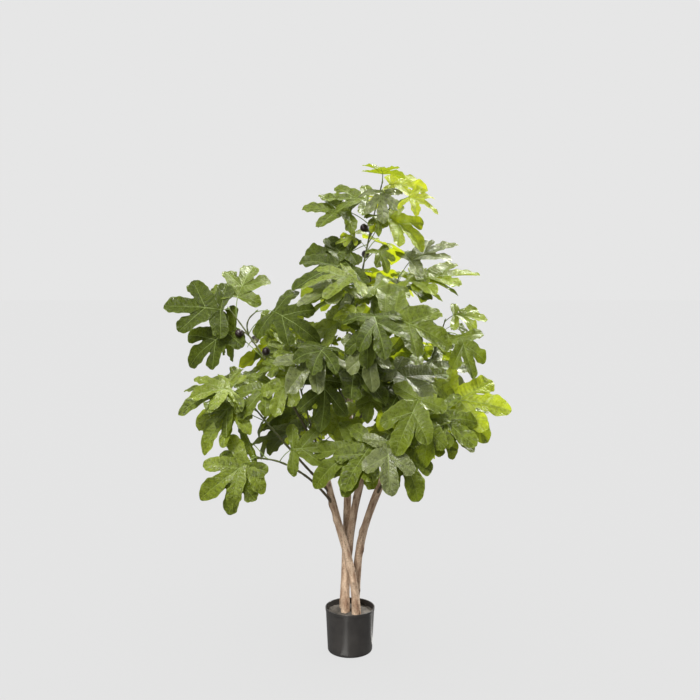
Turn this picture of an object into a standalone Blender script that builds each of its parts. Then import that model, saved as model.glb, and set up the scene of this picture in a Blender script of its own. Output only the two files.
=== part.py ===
"""An artificial fig tree, 1.5 m tall, in a plastic nursery pot.

Four bare wooden poles stand in the cast filling of the pot and cross as they spread. Thin boughs leave
the poles near their tops, and each bough runs on as the twig of one spray: large lobed leaves on stalks,
and a fig here and there. The origin is the centre of the pot's flat underside, +Z is up, and -Y is the
side that the plant is looked at from. All sizes are in metres and all angles in degrees.
"""

import math
import random
from collections import namedtuple

import bpy
import bmesh
import numpy as np
from mathutils import Vector
from mathutils.bvhtree import BVHTree

CLEARANCE = 0.0004

POT_HEIGHT = 0.139
POT_RIM_RADIUS = 0.0758
POT_FOOT_RADIUS = 0.0696
POT_WALL = 0.0024
POT_LIP_HEIGHT = 0.009
POT_LIP_STANDOUT = 0.0012
POT_FOOT_ROUNDING = 0.006
POT_SIDES = 36
FILL_BELOW_RIM = 0.017
POLE_DEPTH_IN_FILL = 0.030

POLE_SIDES_RESOLUTION = 3
POLE_FLARE = 1.10
POLE_FLARE_ENDS = 1 / 6
BOUGH_SIDES_RESOLUTION = 1
TWIG_SIDES_RESOLUTION = 0
BOUGH_ROOT_RADIUS = 0.0042
BOUGH_END_RADIUS = 0.0030
TWIG_END_RADIUS = 0.0018
SIDE_TWIG_ROOT_RADIUS = 0.0024
BOUGH_STEPS = 6
TWIG_STEPS = 3
SIDE_TWIG_STEPS = 3
SIDE_TWIG_SHARE = 0.45
SIDE_TWIG_RISE = 15
# How much of the main twig's way, and of its own, the side twig takes at its bend and at its end.
SIDE_TWIG_BEND = (0.8, 0.5)
SIDE_TWIG_END = (0.7, 0.8)

STALK_RADIUS = 0.0013
STALK_LENGTH = 0.062
STALK_AT_FOOT = 1.15
STALK_AT_TIP = 0.60
STALK_SPREAD = 0.15
STALK_SWELL = 1.3
STALK_SIDES = 3
# A stalk leaves partly along its twig and partly outward, rising before its blade droops.
STALK_ALONG_TWIG = 0.55
STALK_OUTWARD = 0.85
STALK_RISE = 12
STALK_OF_DROOP = 0.3
LEAF_LENGTH = 0.155
LEAF_SPREAD = 0.10
FIRST_LEAF_AT = 0.12
LEAF_THICKNESS = 0.0026
LEAF_SAG = 0.20
LEAF_FOLD = 0.10
STALK_SUNK = 0.003

# The space that each piece keeps to itself, a little larger than the piece.
LEAF_GUARD_THICKNESS = 0.005
LEAF_GUARD_GROWTH = 1.02
STALK_GUARD_RADIUS = 0.0024
STALK_GUARD_STARTS = 0.012
STALK_GUARD_ENDS = 0.004
POLE_GUARD = 0.004
BOUGH_GUARD = 0.003
TWIG_GUARD = 0.002

# Each try to place a leaf turns it further from its heading and makes it smaller, and takes the next of
# a few places down the twig, of a few droops about the one asked for, and of a few longer stalks.
TRIES = 48
TURN_STEP = 4
SHRINK_STEP = 0.006
SLIDES = 3
SLIDE_STEP = 0.07
LOWEST_SHARE = 0.05
DROOPS = 5
DROOP_STEP = 6
STALKS = 4
STALK_STEP = 0.14

FIG_LENGTH = 0.034
FIG_RADIUS = 0.0125
FIG_STALK = 0.010
FIG_SIDES = 6
FIG_RINGS = 6
FIG_SHARES = (0.10, 0.32, 0.55)
FIG_FIRST_TURN = 40
FIG_TURN = 137.5
FIG_RISE = 10
FIG_ALONG_TWIG = 0.35
FIG_NECK = 0.35
FIG_GUARD_SHARES = (0, 0.40, 0.80, 1.05)
FIG_GUARD_RADII = (0.0040, 0.01375, 0.01375, 0.0060)
FIG_GUARD_STARTS = 0.008

# A pole is its radius at the foot and at the top, and the points that it is bent through.
Pole = namedtuple("Pole", "foot_radius top_radius route")
POLES = {
    "trunk_left": Pole(0.0135, 0.0100, (
        (0.020, -0.024, 0.000), (0.012, -0.030, 0.100), (-0.010, -0.034, 0.200),
        (-0.038, -0.032, 0.300), (-0.064, -0.026, 0.400), (-0.086, -0.018, 0.490),
    )),
    "trunk_middle": Pole(0.0140, 0.0105, (
        (-0.014, -0.008, 0.000), (-0.014, -0.006, 0.100), (-0.004, -0.004, 0.200),
        (0.006, -0.004, 0.280), (0.024, -0.014, 0.380), (0.048, -0.030, 0.480),
    )),
    "trunk_centre": Pole(0.0140, 0.0080, (
        (-0.018, 0.028, 0.000), (-0.014, 0.028, 0.150), (-0.009, 0.024, 0.300),
        (-0.006, 0.018, 0.450), (-0.002, 0.010, 0.600), (0.002, 0.006, 0.790),
    )),
    "trunk_right": Pole(0.0125, 0.0115, (
        (0.018, 0.020, 0.000), (0.022, 0.016, 0.120), (0.034, 0.010, 0.220),
        (0.062, 0.004, 0.320), (0.096, 0.000, 0.410), (0.118, -0.004, 0.470),
    )),
}

# A spray is one bough and the mass of leaves at its end. The bough leaves the pole at a height above
# the fill, bends through a point and ends at the tip. The leaves begin at a share of its length. Their
# faces lean from straight up towards a compass direction, 270 being the viewed side, and their sizes run
# from the foot of the twig to its tip. Each leaf is its heading on the compass and its droop below level.
Spray = namedtuple("Spray", "pole leaves_at through tip begins face lean sizes figs leaves")
SPRAYS = {
    "top": Spray(
        "trunk_centre", 0.780, (0.036, 0.000, 1.175), (0.096, -0.010, 1.446), 0.40,
        270, 42, (1.12, 0.70), 3,
        ((215, 25), (325, 30), (310, 60), (60, 20), (183, 12), (330, 35), (184, 2), (275, 50), (183, 4),
         (285, 60), (350, 14), (262, -6))),
    "left_high": Spray(
        "trunk_left", 0.476, (-0.210, -0.050, 0.850), (-0.356, -0.070, 1.072), 0.64,
        270, 64, (0.95, 1.22), 3,
        ((188, 40), (330, 35), (183, 20), (350, 20), (70, -35), (182, 4))),
    "left_inner": Spray(
        "trunk_left", 0.442, (-0.130, -0.070, 0.770), (-0.165, -0.120, 0.930), 0.50,
        270, 42, (1.05, 1.00), 0,
        ((195, 40), (340, 50), (10, 15), (240, 50), (183, 12), (165, -20), (150, -35))),
    "left_mid": Spray(
        "trunk_left", 0.386, (-0.205, -0.100, 0.690), (-0.322, -0.120, 0.838), 0.62,
        270, 40, (0.90, 0.95), 0,
        ((200, 30), (90, -20), (230, 50), (184, 16), (160, 0), (180, -8))),
    "left_low": Spray(
        "trunk_left", 0.350, (-0.160, -0.110, 0.600), (-0.280, -0.170, 0.645), 0.66,
        270, 66, (0.90, 1.02), 0,
        ((5, 0), (205, 30), (195, 38), (150, -30), (235, 82))),
    "low_left": Spray(
        "trunk_left", 0.416, (-0.080, -0.080, 0.640), (-0.090, -0.150, 0.680), 0.40,
        270, 50, (0.95, 1.00), 0,
        ((184, 8), (235, 40), (170, -5), (110, -60), (200, 15))),
    "centre_left": Spray(
        "trunk_centre", 0.640, (-0.040, -0.100, 0.860), (-0.060, -0.170, 0.960), 0.45,
        270, 45, (1.05, 1.05), 0,
        ((260, 70), (190, 25), (330, 45), (205, 35), (175, 5), (240, 60))),
    "upper_left": Spray(
        "trunk_centre", 0.718, (-0.005, -0.070, 1.040), (0.034, -0.120, 1.135), 0.50,
        270, 38, (0.90, 0.95), 0,
        ((205, 20), (340, 30), (212, 5), (250, 50), (140, -5), (200, -12))),
    "centre_front": Spray(
        "trunk_centre", 0.695, (0.030, -0.120, 0.960), (0.060, -0.200, 1.060), 0.45,
        270, 50, (1.10, 1.10), 1,
        ((215, 55), (345, 30), (250, 65), (300, 60), (320, 30), (270, 60))),
    "centre_right": Spray(
        "trunk_centre", 0.580, (0.070, -0.070, 0.800), (0.110, -0.130, 0.900), 0.45,
        270, 42, (1.00, 1.00), 0,
        ((250, 55), (350, 30), (300, 50), (10, 0), (330, 40), (190, 20))),
    "upper_right": Spray(
        "trunk_centre", 0.752, (0.085, 0.000, 1.010), (0.148, 0.010, 1.165), 0.50,
        270, 26, (1.10, 1.05), 0,
        ((335, 30), (357, 0), (200, 15), (60, 10), (352, 10), (5, -16))),
    "right_high": Spray(
        "trunk_right", 0.460, (0.210, 0.030, 0.800), (0.290, 0.020, 1.030), 0.62,
        270, 34, (1.00, 0.84), 1,
        ((345, 45), (270, 70), (5, 25), (200, 40), (180, 5), (350, 12))),
    "right_mid": Spray(
        "trunk_right", 0.420, (0.190, -0.040, 0.680), (0.256, -0.090, 0.792), 0.56,
        270, 50, (0.95, 1.10), 0,
        ((350, 40), (150, -30), (20, 10), (200, 30), (340, 40), (345, 14))),
    "right_low": Spray(
        "trunk_right", 0.372, (0.160, -0.110, 0.660), (0.240, -0.170, 0.790), 0.56,
        270, 55, (0.95, 1.05), 0,
        ((355, 10), (230, 60), (350, 35), (200, 50), (345, 30))),
    "front_low": Spray(
        "trunk_middle", 0.455, (0.070, -0.120, 0.640), (0.100, -0.200, 0.700), 0.40,
        270, 50, (0.90, 1.15), 0,
        ((235, 50), (320, 70), (190, 25), (280, 65), (205, 40), (340, 40))),
    "back_high": Spray(
        "trunk_centre", 0.668, (0.030, 0.140, 0.980), (0.010, 0.220, 1.160), 0.50,
        90, 35, (1.00, 1.00), 0,
        ((60, 20), (120, 25), (180, 5), (90, 45), (10, 10), (150, 10), (80, 20))),
    "back_left": Spray(
        "trunk_centre", 0.610, (-0.130, 0.150, 0.860), (-0.230, 0.210, 1.000), 0.50,
        130, 35, (1.00, 1.00), 1,
        ((200, 20), (100, 30), (150, 10), (240, 20), (180, 5), (120, 30), (60, 20))),
    "back_right": Spray(
        "trunk_right", 0.400, (0.180, 0.150, 0.760), (0.230, 0.230, 0.940), 0.50,
        50, 35, (1.00, 1.00), 1,
        ((340, 20), (60, 35), (20, 10), (100, 30), (0, 5), (45, 20), (140, 15))),
    "back_low_left": Spray(
        "trunk_centre", 0.480, (-0.100, 0.160, 0.640), (-0.180, 0.240, 0.740), 0.45,
        130, 45, (1.00, 1.00), 0,
        ((190, 20), (110, 50), (160, 20), (80, 40), (140, 30), (220, 15))),
    "back_low_right": Spray(
        "trunk_right", 0.342, (0.130, 0.140, 0.580), (0.180, 0.230, 0.700), 0.45,
        50, 45, (1.00, 1.00), 0,
        ((350, 20), (70, 50), (30, 20), (110, 40), (10, 15), (60, 35))),
    "back_centre": Spray(
        "trunk_centre", 0.545, (0.020, 0.180, 0.760), (0.020, 0.280, 0.880), 0.45,
        90, 40, (1.05, 1.05), 0,
        ((60, 30), (130, 20), (90, 45), (30, 15), (150, 10), (100, 20))),
}

# A leaf form is its lobes on one side, from the tip to the stalk: the lobe's direction from the midrib, its
# length and its half width as shares of the leaf's length. The middle lobes fork off the midrib at a share
# of it, and the others start at the stalk. A bay is where two lobes part, as an angle and a distance, the
# first from the fork and the second from the stalk.
LeafForm = namedtuple("LeafForm", "lobes bays fork")
LEAF_FORMS = (
    LeafForm(((0, 1.00, 0.185), (54, 0.60, 0.165), (98, 0.54, 0.150)), ((33, 0.286), (58.6, 0.282)), 0.26),
    LeafForm(((0, 1.00, 0.165), (44, 0.70, 0.150), (88, 0.62, 0.130)), ((25.7, 0.300), (53.4, 0.267)), 0.18),
    LeafForm(((0, 1.00, 0.215), (56, 0.60, 0.195), (108, 0.46, 0.145)), ((29.9, 0.366), (66.3, 0.286)), 0.22),
)
LEAF_FORM_DRAW = (0, 0, 1, 1, 2)
LOBE_SHOULDER = 0.70
LOBE_BLUNT = (0.97, 0.50)
STALK_NOTCH = 0.05
LEAF_HUB = 0.05


def unit(vector):
    """The vector at length one."""
    vector = np.asarray(vector, float)
    return vector / np.linalg.norm(vector)


def compass(heading, droop=0.0):
    """The direction with this heading on the compass, this far below level."""
    across = math.cos(math.radians(droop))
    return np.array([
        math.cos(math.radians(heading)) * across,
        math.sin(math.radians(heading)) * across,
        -math.sin(math.radians(droop)),
    ])


def smooth_route(points, steps):
    """Points along the smooth curve that passes through all of these, with so many steps between two."""
    points = [np.asarray(p, float) for p in points]
    padded = [2 * points[0] - points[1], *points, 2 * points[-1] - points[-2]]
    route = []
    for a, b, c, d in zip(padded, padded[1:], padded[2:], padded[3:]):
        for t in np.arange(steps) / steps:
            route.append(0.5 * (
                2 * b + (c - a) * t + (2 * a - 5 * b + 4 * c - d) * t**2 + (3 * b - a - 3 * c + d) * t**3
            ))
    return np.array([*route, points[-1]])


def bent_route(start, through, end, shares):
    """Points at these shares of the bend that runs from start to end through the middle point."""
    start, through, end = (np.asarray(p, float) for p in (start, through, end))
    pull = 2 * through - 0.5 * (start + end)
    t = np.asarray(shares, float)[:, None]
    return (1 - t) ** 2 * start + 2 * t * (1 - t) * pull + t**2 * end


def fill_top():
    """The height of the filling's upper face."""
    return POT_HEIGHT - FILL_BELOW_RIM


def pole_route(pole):
    """The pole's centre line, from its foot sunk in the filling to its top."""
    on_fill = [np.array(p) + (0, 0, fill_top()) for p in pole.route]
    foot = on_fill[0] - (0, 0, POLE_DEPTH_IN_FILL)
    return smooth_route([foot, *on_fill], 2)


def at_height(route, height):
    """The point where a route first reaches this height."""
    above = int(np.argmax(route[:, 2] >= height))
    low, high = route[above - 1], route[above]
    return low + (high - low) * (height - low[2]) / (high[2] - low[2])


def flat_point(angle, reach, starts_at=0.0):
    """A point of the flat leaf at an angle and a distance from a place on its midrib."""
    return starts_at + reach * math.cos(math.radians(angle)), reach * math.sin(math.radians(angle))


def beside_lobe(angle, along, aside, starts_at):
    """A point of the flat leaf beside the line of a lobe."""
    ahead, outward = flat_point(angle, along), flat_point(angle + 90, aside)
    return starts_at + ahead[0] + outward[0], ahead[1] + outward[1]


def leaf_outline(form):
    """The flat leaf's outline, as places along and beside its midrib, from the stalk round and back."""
    half = []
    for rank, (angle, length, width) in enumerate(form.lobes):
        last = rank == len(form.lobes) - 1
        starts_at = form.fork if rank == 1 else 0.0
        blunt = (LOBE_BLUNT[0] * length, LOBE_BLUNT[1] * width)
        shoulder = (LOBE_SHOULDER * length, width)
        if rank:
            half += [beside_lobe(angle, along, -aside, starts_at) for along, aside in (shoulder, blunt)]
        outer = (blunt,) if last else (blunt, shoulder)
        half += [beside_lobe(angle, along, aside, starts_at) for along, aside in outer]
        if not last:
            half.append(flat_point(*form.bays[rank], 0.0 if rank else form.fork))
    half.append((-STALK_NOTCH, 0.0))
    other = [(along, -aside) for along, aside in reversed(half[:-1])]
    return other + half


def leaf_surface(at, heading_way, up_way, length, form, thickness, growth=1.0):
    """The corners and faces of one blade: a thin lens round its outline, sagging towards its tips."""
    side_way = np.cross(up_way, heading_way)
    rim = []
    for along, aside in leaf_outline(form):
        lift = LEAF_FOLD * abs(aside) * growth - LEAF_SAG * math.hypot(along, aside) ** 2
        rim.append(at + length * (along * growth * heading_way + aside * growth * side_way + lift * up_way))
    count = len(rim)
    hub = at + heading_way * (LEAF_HUB * length)
    corners = [*rim, hub + up_way * thickness / 2, hub - up_way * thickness / 2]
    faces = []
    for k in range(count):
        after = (k + 1) % count
        faces += [(k, after, count), (after, k, count + 1)]
    return corners, faces


Leaf = namedtuple("Leaf", "root foot way up length form")


def leaf_frame(root, twig_way, spray, heading, droop, stalk, length, form):
    """A leaf whose stalk leaves the twig at root and whose blade points along its heading and droop."""
    way = compass(heading, droop)
    outward = compass(heading, droop * STALK_OF_DROOP - STALK_RISE)
    rise = unit(STALK_ALONG_TWIG * twig_way + STALK_OUTWARD * outward)
    foot = root + rise * stalk
    lean = math.radians(spray.lean)
    wish = math.cos(lean) * np.array([0, 0, 1.0]) + math.sin(lean) * compass(spray.face)
    up = unit(wish - np.dot(wish, way) * way)
    return Leaf(root, foot, way, up, length, form)


def tube_mesh(points, radii, sides=3):
    """Corners and faces of a closed tube of a few sides, for tests of what touches."""
    corners, faces = [], []
    for k, (point, radius) in enumerate(zip(points, radii)):
        way = unit(points[min(k + 1, len(points) - 1)] - points[max(k - 1, 0)])
        side = unit(np.cross(way, (0.36, 0.48, 0.80)))
        over = np.cross(way, side)
        for s in range(sides):
            turn = 2 * math.pi * s / sides
            corners.append(point + radius * (math.cos(turn) * side + math.sin(turn) * over))
    for k in range(len(points) - 1):
        for s in range(sides):
            a, b = k * sides + s, k * sides + (s + 1) % sides
            faces.append((a, b, b + sides, a + sides))
    return corners, faces


def tree_of(shape):
    """A shape's corners and faces, ready to be tested against others."""
    corners, faces = shape
    return BVHTree.FromPolygons([Vector(c) for c in corners], faces)


def spray_routes(name, pole_lines):
    """The bough's route, and those of the spray's main twig and its side twig."""
    spray = SPRAYS[name]
    start = at_height(pole_lines[spray.pole], fill_top() + spray.leaves_at)
    parts = np.linspace(0, spray.begins, BOUGH_STEPS)
    bough = bent_route(start, spray.through, spray.tip, parts)
    twig = bent_route(start, spray.through, spray.tip, np.linspace(spray.begins, 1, TWIG_STEPS + 1))
    way = unit(twig[1] - twig[0])
    fork = (twig[1] + twig[2]) / 2
    aside = compass(spray.leaves[1][0], -SIDE_TWIG_RISE)
    reach = SIDE_TWIG_SHARE * np.linalg.norm(twig[-1] - twig[0])
    bend, end = (unit(main * way + own * aside) for main, own in (SIDE_TWIG_BEND, SIDE_TWIG_END))
    shares = np.linspace(0, 1, SIDE_TWIG_STEPS + 1)
    side = bent_route(fork, fork + reach / 2 * bend, fork + reach * end, shares)
    return bough, twig, side


def on_route(route, share):
    """The point at a share of a route, and the way it runs there."""
    place = share * (len(route) - 1)
    k = min(int(place), len(route) - 2)
    return route[k] + (route[k + 1] - route[k]) * (place - k), unit(route[k + 1] - route[k])


def leaf_sites(count):
    """Where each leaf grows: on the side twig or not, and at which share. The last is at the twig's tip."""
    sites = []
    for k in range(count):
        if k == 1:
            sites.append((True, 1.0))
        else:
            sites.append((False, FIRST_LEAF_AT + (1 - FIRST_LEAF_AT) * k / (count - 1)))
    return sites


Fig = namedtuple("Fig", "root way")


def fig_guard(fig):
    """The space that a fig takes up, for tests of what touches."""
    points = [fig.root + fig.way * (FIG_GUARD_STARTS + FIG_LENGTH * share) for share in FIG_GUARD_SHARES]
    return tree_of(tube_mesh(np.array(points), FIG_GUARD_RADII, 6))


def fig_places(spray, twig):
    """Sets the spray's figs along its twig, each on the first side of it that the others leave free."""
    figs = []
    taken = []
    for count in range(spray.figs):
        root, twig_way = on_route(twig, FIG_SHARES[count])
        for turn in range(TRIES):
            across = compass(spray.face + FIG_FIRST_TURN + FIG_TURN * (count + turn), -FIG_RISE)
            outward = across - np.dot(across, twig_way) * twig_way
            fig = Fig(root, unit(outward + FIG_ALONG_TWIG * twig_way))
            guard = fig_guard(fig)
            if not any(guard.overlap(other) for other in taken):
                taken.append(guard)
                figs.append(fig)
                break
    return figs


def fig_mesh(fig):
    """A fig: a ball drawn out to a neck where it grows from the twig."""
    mesh = bpy.data.meshes.new("fig")
    shape = bmesh.new()
    bmesh.ops.create_uvsphere(shape, u_segments=FIG_SIDES, v_segments=FIG_RINGS, radius=1.0)
    for spot in shape.verts:
        height = (spot.co.z + 1) / 2
        neck = FIG_NECK + (1 - FIG_NECK) * height
        spot.co.x *= FIG_RADIUS * neck
        spot.co.y *= FIG_RADIUS * neck
        spot.co.z = height * (FIG_LENGTH + FIG_STALK)
    turn = Vector((0, 0, 1)).rotation_difference(Vector(fig.way))
    for spot in shape.verts:
        spot.co = turn @ spot.co + Vector(fig.root)
    shape.to_mesh(mesh)
    shape.free()
    return mesh


def tried_leaf(attempt, spray, route, share, heading, droop, stalk, length, form):
    """The leaf of one try, each time in another place, at another angle and a little smaller."""
    swing = (attempt + 1) // 2 * (1 if attempt % 2 else -1)
    root, twig_way = on_route(route, max(share - SLIDE_STEP * (attempt % SLIDES), LOWEST_SHARE))
    return leaf_frame(
        root, twig_way, spray, heading + TURN_STEP * swing,
        droop + DROOP_STEP * (attempt % DROOPS - DROOPS // 2),
        stalk * (1 + STALK_STEP * (attempt % STALKS)), length * (1 - SHRINK_STEP * attempt), form)


def leaf_guards(leaf):
    """The spaces that a leaf's blade and its stalk take up, for tests of what touches."""
    blade = tree_of(leaf_surface(
        leaf.foot, leaf.way, leaf.up, leaf.length, leaf.form, LEAF_GUARD_THICKNESS, LEAF_GUARD_GROWTH))
    reach = unit(leaf.foot - leaf.root)
    ends = np.array([leaf.root + reach * STALK_GUARD_STARTS, leaf.foot - reach * STALK_GUARD_ENDS])
    return [blade, tree_of(tube_mesh(ends, np.full(2, STALK_GUARD_RADIUS)))]


def plan_tree():
    """Places every limb, fig and leaf. A leaf that would touch another piece moves, or is left out."""
    pole_lines = {name: pole_route(pole) for name, pole in POLES.items()}
    routes = {name: spray_routes(name, pole_lines) for name in SPRAYS}
    solid = []
    for name, pole in POLES.items():
        line = pole_lines[name]
        solid.append(tree_of(tube_mesh(line, np.full(len(line), pole.foot_radius + POLE_GUARD), 8)))
    for name, (bough, twig, side) in routes.items():
        solid.append(tree_of(tube_mesh(bough, np.full(len(bough), BOUGH_ROOT_RADIUS + BOUGH_GUARD), 6)))
        for line in (twig, side):
            solid.append(tree_of(tube_mesh(line, np.full(len(line), BOUGH_END_RADIUS + TWIG_GUARD), 6)))
    figs = {name: fig_places(spray, routes[name][1]) for name, spray in SPRAYS.items()}
    for hung in figs.values():
        solid += [fig_guard(fig) for fig in hung]
    leaves = {}
    for name, spray in SPRAYS.items():
        draw = random.Random(name)
        _, twig, side = routes[name]
        leaves[name] = []
        for (on_side, share), (heading, droop) in zip(leaf_sites(len(spray.leaves)), spray.leaves):
            size = spray.sizes[0] + (spray.sizes[1] - spray.sizes[0]) * share
            length = LEAF_LENGTH * size * draw.uniform(1 - LEAF_SPREAD, 1 + LEAF_SPREAD)
            form = LEAF_FORMS[draw.choice(LEAF_FORM_DRAW)]
            stalk = STALK_LENGTH * (STALK_AT_FOOT + (STALK_AT_TIP - STALK_AT_FOOT) * share)
            stalk *= draw.uniform(1 - STALK_SPREAD, 1 + STALK_SPREAD)
            for attempt in range(TRIES):
                leaf = tried_leaf(
                    attempt, spray, side if on_side else twig, share, heading, droop, stalk, length, form)
                guards = leaf_guards(leaf)
                if not any(guard.overlap(other) for guard in guards for other in solid):
                    solid += guards
                    leaves[name].append(leaf)
                    break
    return pole_lines, routes, leaves, figs


def clear_scene():
    """Removes what the scene already holds."""
    for thing in list(bpy.data.objects):
        bpy.data.objects.remove(thing)
    for collection in list(bpy.data.collections):
        bpy.data.collections.remove(collection)


def material(name, colour, roughness):
    """A plain material with a part's colour and roughness."""
    made = bpy.data.materials.new(name)
    made.use_nodes = True
    shader = made.node_tree.nodes["Principled BSDF"]
    shader.inputs["Base Color"].default_value = (*colour, 1.0)
    shader.inputs["Roughness"].default_value = roughness
    return made


def new_object(name, mesh, finish, collection=None):
    """An object with this mesh and finish, in the scene or in the collection."""
    made = bpy.data.objects.new(name, mesh)
    mesh.materials.clear()
    mesh.materials.append(finish)
    (collection or bpy.context.scene.collection).objects.link(made)
    return made


def apply_modifiers(thing):
    """Keeps the shape that the object's modifiers give it, and removes them."""
    bpy.context.view_layer.update()
    shaped = bpy.data.meshes.new_from_object(thing.evaluated_get(bpy.context.evaluated_depsgraph_get()))
    thing.modifiers.clear()
    thing.data = shaped


def limb_object(name, points, radii, resolution, finish, collection=None):
    """A round limb along these points, with its own radius at each and a flat cut at both ends."""
    curve = bpy.data.curves.new(name, "CURVE")
    curve.dimensions = "3D"
    curve.bevel_depth = 1.0
    curve.bevel_resolution = resolution
    curve.use_fill_caps = True
    line = curve.splines.new("POLY")
    line.points.add(len(points) - 1)
    for spot, point, radius in zip(line.points, points, radii):
        spot.co = (*point, 1.0)
        spot.radius = radius
    guide = bpy.data.objects.new(name + "_guide", curve)
    bpy.context.scene.collection.objects.link(guide)
    bpy.context.view_layer.update()
    mesh = bpy.data.meshes.new_from_object(guide.evaluated_get(bpy.context.evaluated_depsgraph_get()))
    bpy.data.objects.remove(guide)
    shape = bmesh.new()
    shape.from_mesh(mesh)
    bmesh.ops.remove_doubles(shape, verts=shape.verts, dist=1e-6)
    bmesh.ops.recalc_face_normals(shape, faces=shape.faces)
    shape.to_mesh(mesh)
    shape.free()
    return new_object(name, mesh, finish, collection)


def turned_object(name, profile, finish):
    """A round solid whose half section runs from the top of its axis to the bottom."""
    mesh = bpy.data.meshes.new(name)
    shape = bmesh.new()
    corners = [shape.verts.new((radius, 0, height)) for radius, height in profile]
    for upper, lower in zip(corners, corners[1:]):
        shape.edges.new((upper, lower))
    shape.to_mesh(mesh)
    shape.free()
    made = new_object(name, mesh, finish)
    screw = made.modifiers.new("turn", "SCREW")
    screw.steps = POT_SIDES
    screw.render_steps = POT_SIDES
    screw.use_merge_vertices = True
    screw.merge_threshold = 0.00005
    apply_modifiers(made)
    shape = bmesh.new()
    shape.from_mesh(made.data)
    bmesh.ops.remove_doubles(shape, verts=shape.verts, dist=0.00001)
    bmesh.ops.recalc_face_normals(shape, faces=shape.faces)
    shape.to_mesh(made.data)
    shape.free()
    return made


def pot_radius(height):
    """The pot's outer radius at a height."""
    return POT_FOOT_RADIUS + (POT_RIM_RADIUS - POT_FOOT_RADIUS) * height / POT_HEIGHT


def build_pot(finish):
    """The pot: a tapered shell with a rounded lower edge, a flat floor and a rim that stands out."""
    lip = POT_HEIGHT - POT_LIP_HEIGHT
    inner_rim = (pot_radius(POT_HEIGHT) - POT_WALL, POT_HEIGHT)
    rim = [(0, POT_WALL), (pot_radius(POT_WALL) - POT_WALL, POT_WALL), inner_rim]
    wall = [
        (pot_radius(POT_HEIGHT) + POT_LIP_STANDOUT, POT_HEIGHT),
        (pot_radius(lip) + POT_LIP_STANDOUT, lip),
        (pot_radius(lip), lip - POT_LIP_STANDOUT),
    ]
    bend = []
    for turn in (0, 30, 60, 90):
        swing = math.radians(turn)
        bend.append((
            pot_radius(POT_FOOT_ROUNDING) - POT_FOOT_ROUNDING * (1 - math.cos(swing)),
            POT_FOOT_ROUNDING * (1 - math.sin(swing))))
    return turned_object("pot", [*rim, *wall, *bend, (0, 0)], finish)


def cut(thing, cutters):
    """Cuts these cutters out of the object, and removes them."""
    for cutter in cutters:
        knife = thing.modifiers.new("cut", "BOOLEAN")
        knife.operation = "DIFFERENCE"
        knife.solver = "EXACT"
        knife.object = cutter
    apply_modifiers(thing)
    for cutter in cutters:
        bpy.data.objects.remove(cutter)


def guide_collection():
    """The collection that holds cutters while they are needed."""
    name = "guides"
    if name not in bpy.data.collections:
        made = bpy.data.collections.new(name)
        bpy.context.scene.collection.children.link(made)
    return bpy.data.collections[name]


def pole_radii(pole, count):
    """The pole's radius at each of its points, a little wider at the foot."""
    share = np.linspace(0, 1, count)
    flare = 1 + (POLE_FLARE - 1) * np.clip(1 - share / POLE_FLARE_ENDS, 0, 1)
    return (pole.foot_radius + (pole.top_radius - pole.foot_radius) * share) * flare


def pole_cutter(name, line, finish):
    """A pole with its clearance all round, as a cutter."""
    radii = pole_radii(POLES[name], len(line)) + CLEARANCE
    points = line.copy()
    points[0] = points[0] - (0, 0, CLEARANCE)
    cutter = limb_object(name + "_cutter", points, radii, POLE_SIDES_RESOLUTION, finish, guide_collection())
    cutter.hide_render = True
    cutter.display_type = "WIRE"
    return cutter


def build_filling(pole_lines, finish):
    """The cast filling of the pot, with a hole round the foot of each pole."""
    floor = POT_WALL + CLEARANCE
    top = fill_top()
    inset = POT_WALL + CLEARANCE
    filling = turned_object("filling", [
        (0, top), (pot_radius(top) - inset, top), (pot_radius(floor) - inset, floor), (0, floor)], finish)
    cut(filling, [pole_cutter(name, line, finish) for name, line in pole_lines.items()])
    return filling


def build_poles(pole_lines, finish):
    """The four wooden poles."""
    for name, line in pole_lines.items():
        radii = pole_radii(POLES[name], len(line))
        limb_object(name, line, radii, POLE_SIDES_RESOLUTION, finish)


def build_bough(name, bough, pole_lines, finish):
    """A bough, whose foot is cut to fit round its pole."""
    radii = np.linspace(BOUGH_ROOT_RADIUS, BOUGH_END_RADIUS, len(bough))
    made = limb_object("bough_" + name, bough, radii, BOUGH_SIDES_RESOLUTION, finish)
    pole = SPRAYS[name].pole
    cut(made, [pole_cutter(pole, pole_lines[pole], finish)])
    return made


def blade_mesh(leaf):
    """The mesh of one leaf's blade."""
    corners, faces = leaf_surface(leaf.foot, leaf.way, leaf.up, leaf.length, leaf.form, LEAF_THICKNESS)
    mesh = bpy.data.meshes.new("blade")
    shape = bmesh.new()
    spots = [shape.verts.new(corner) for corner in corners]
    for face in faces:
        shape.faces.new([spots[k] for k in face])
    bmesh.ops.recalc_face_normals(shape, faces=shape.faces)
    shape.to_mesh(mesh)
    shape.free()
    return mesh


def stalk_mesh(leaf):
    """The mesh of one leaf's stalk: a straight rod with three sides, from the twig into the blade."""
    way = unit(leaf.foot - leaf.root)
    length = float(np.linalg.norm(leaf.foot - leaf.root)) + STALK_SUNK
    mesh = bpy.data.meshes.new("stalk")
    shape = bmesh.new()
    bmesh.ops.create_cone(
        shape, cap_ends=True, segments=STALK_SIDES, depth=length,
        radius1=STALK_RADIUS * STALK_SWELL, radius2=STALK_RADIUS)
    turn = Vector((0, 0, 1)).rotation_difference(Vector(way))
    middle = Vector(leaf.root + way * length / 2)
    for spot in shape.verts:
        spot.co = turn @ spot.co + middle
    shape.to_mesh(mesh)
    shape.free()
    return mesh


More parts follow.
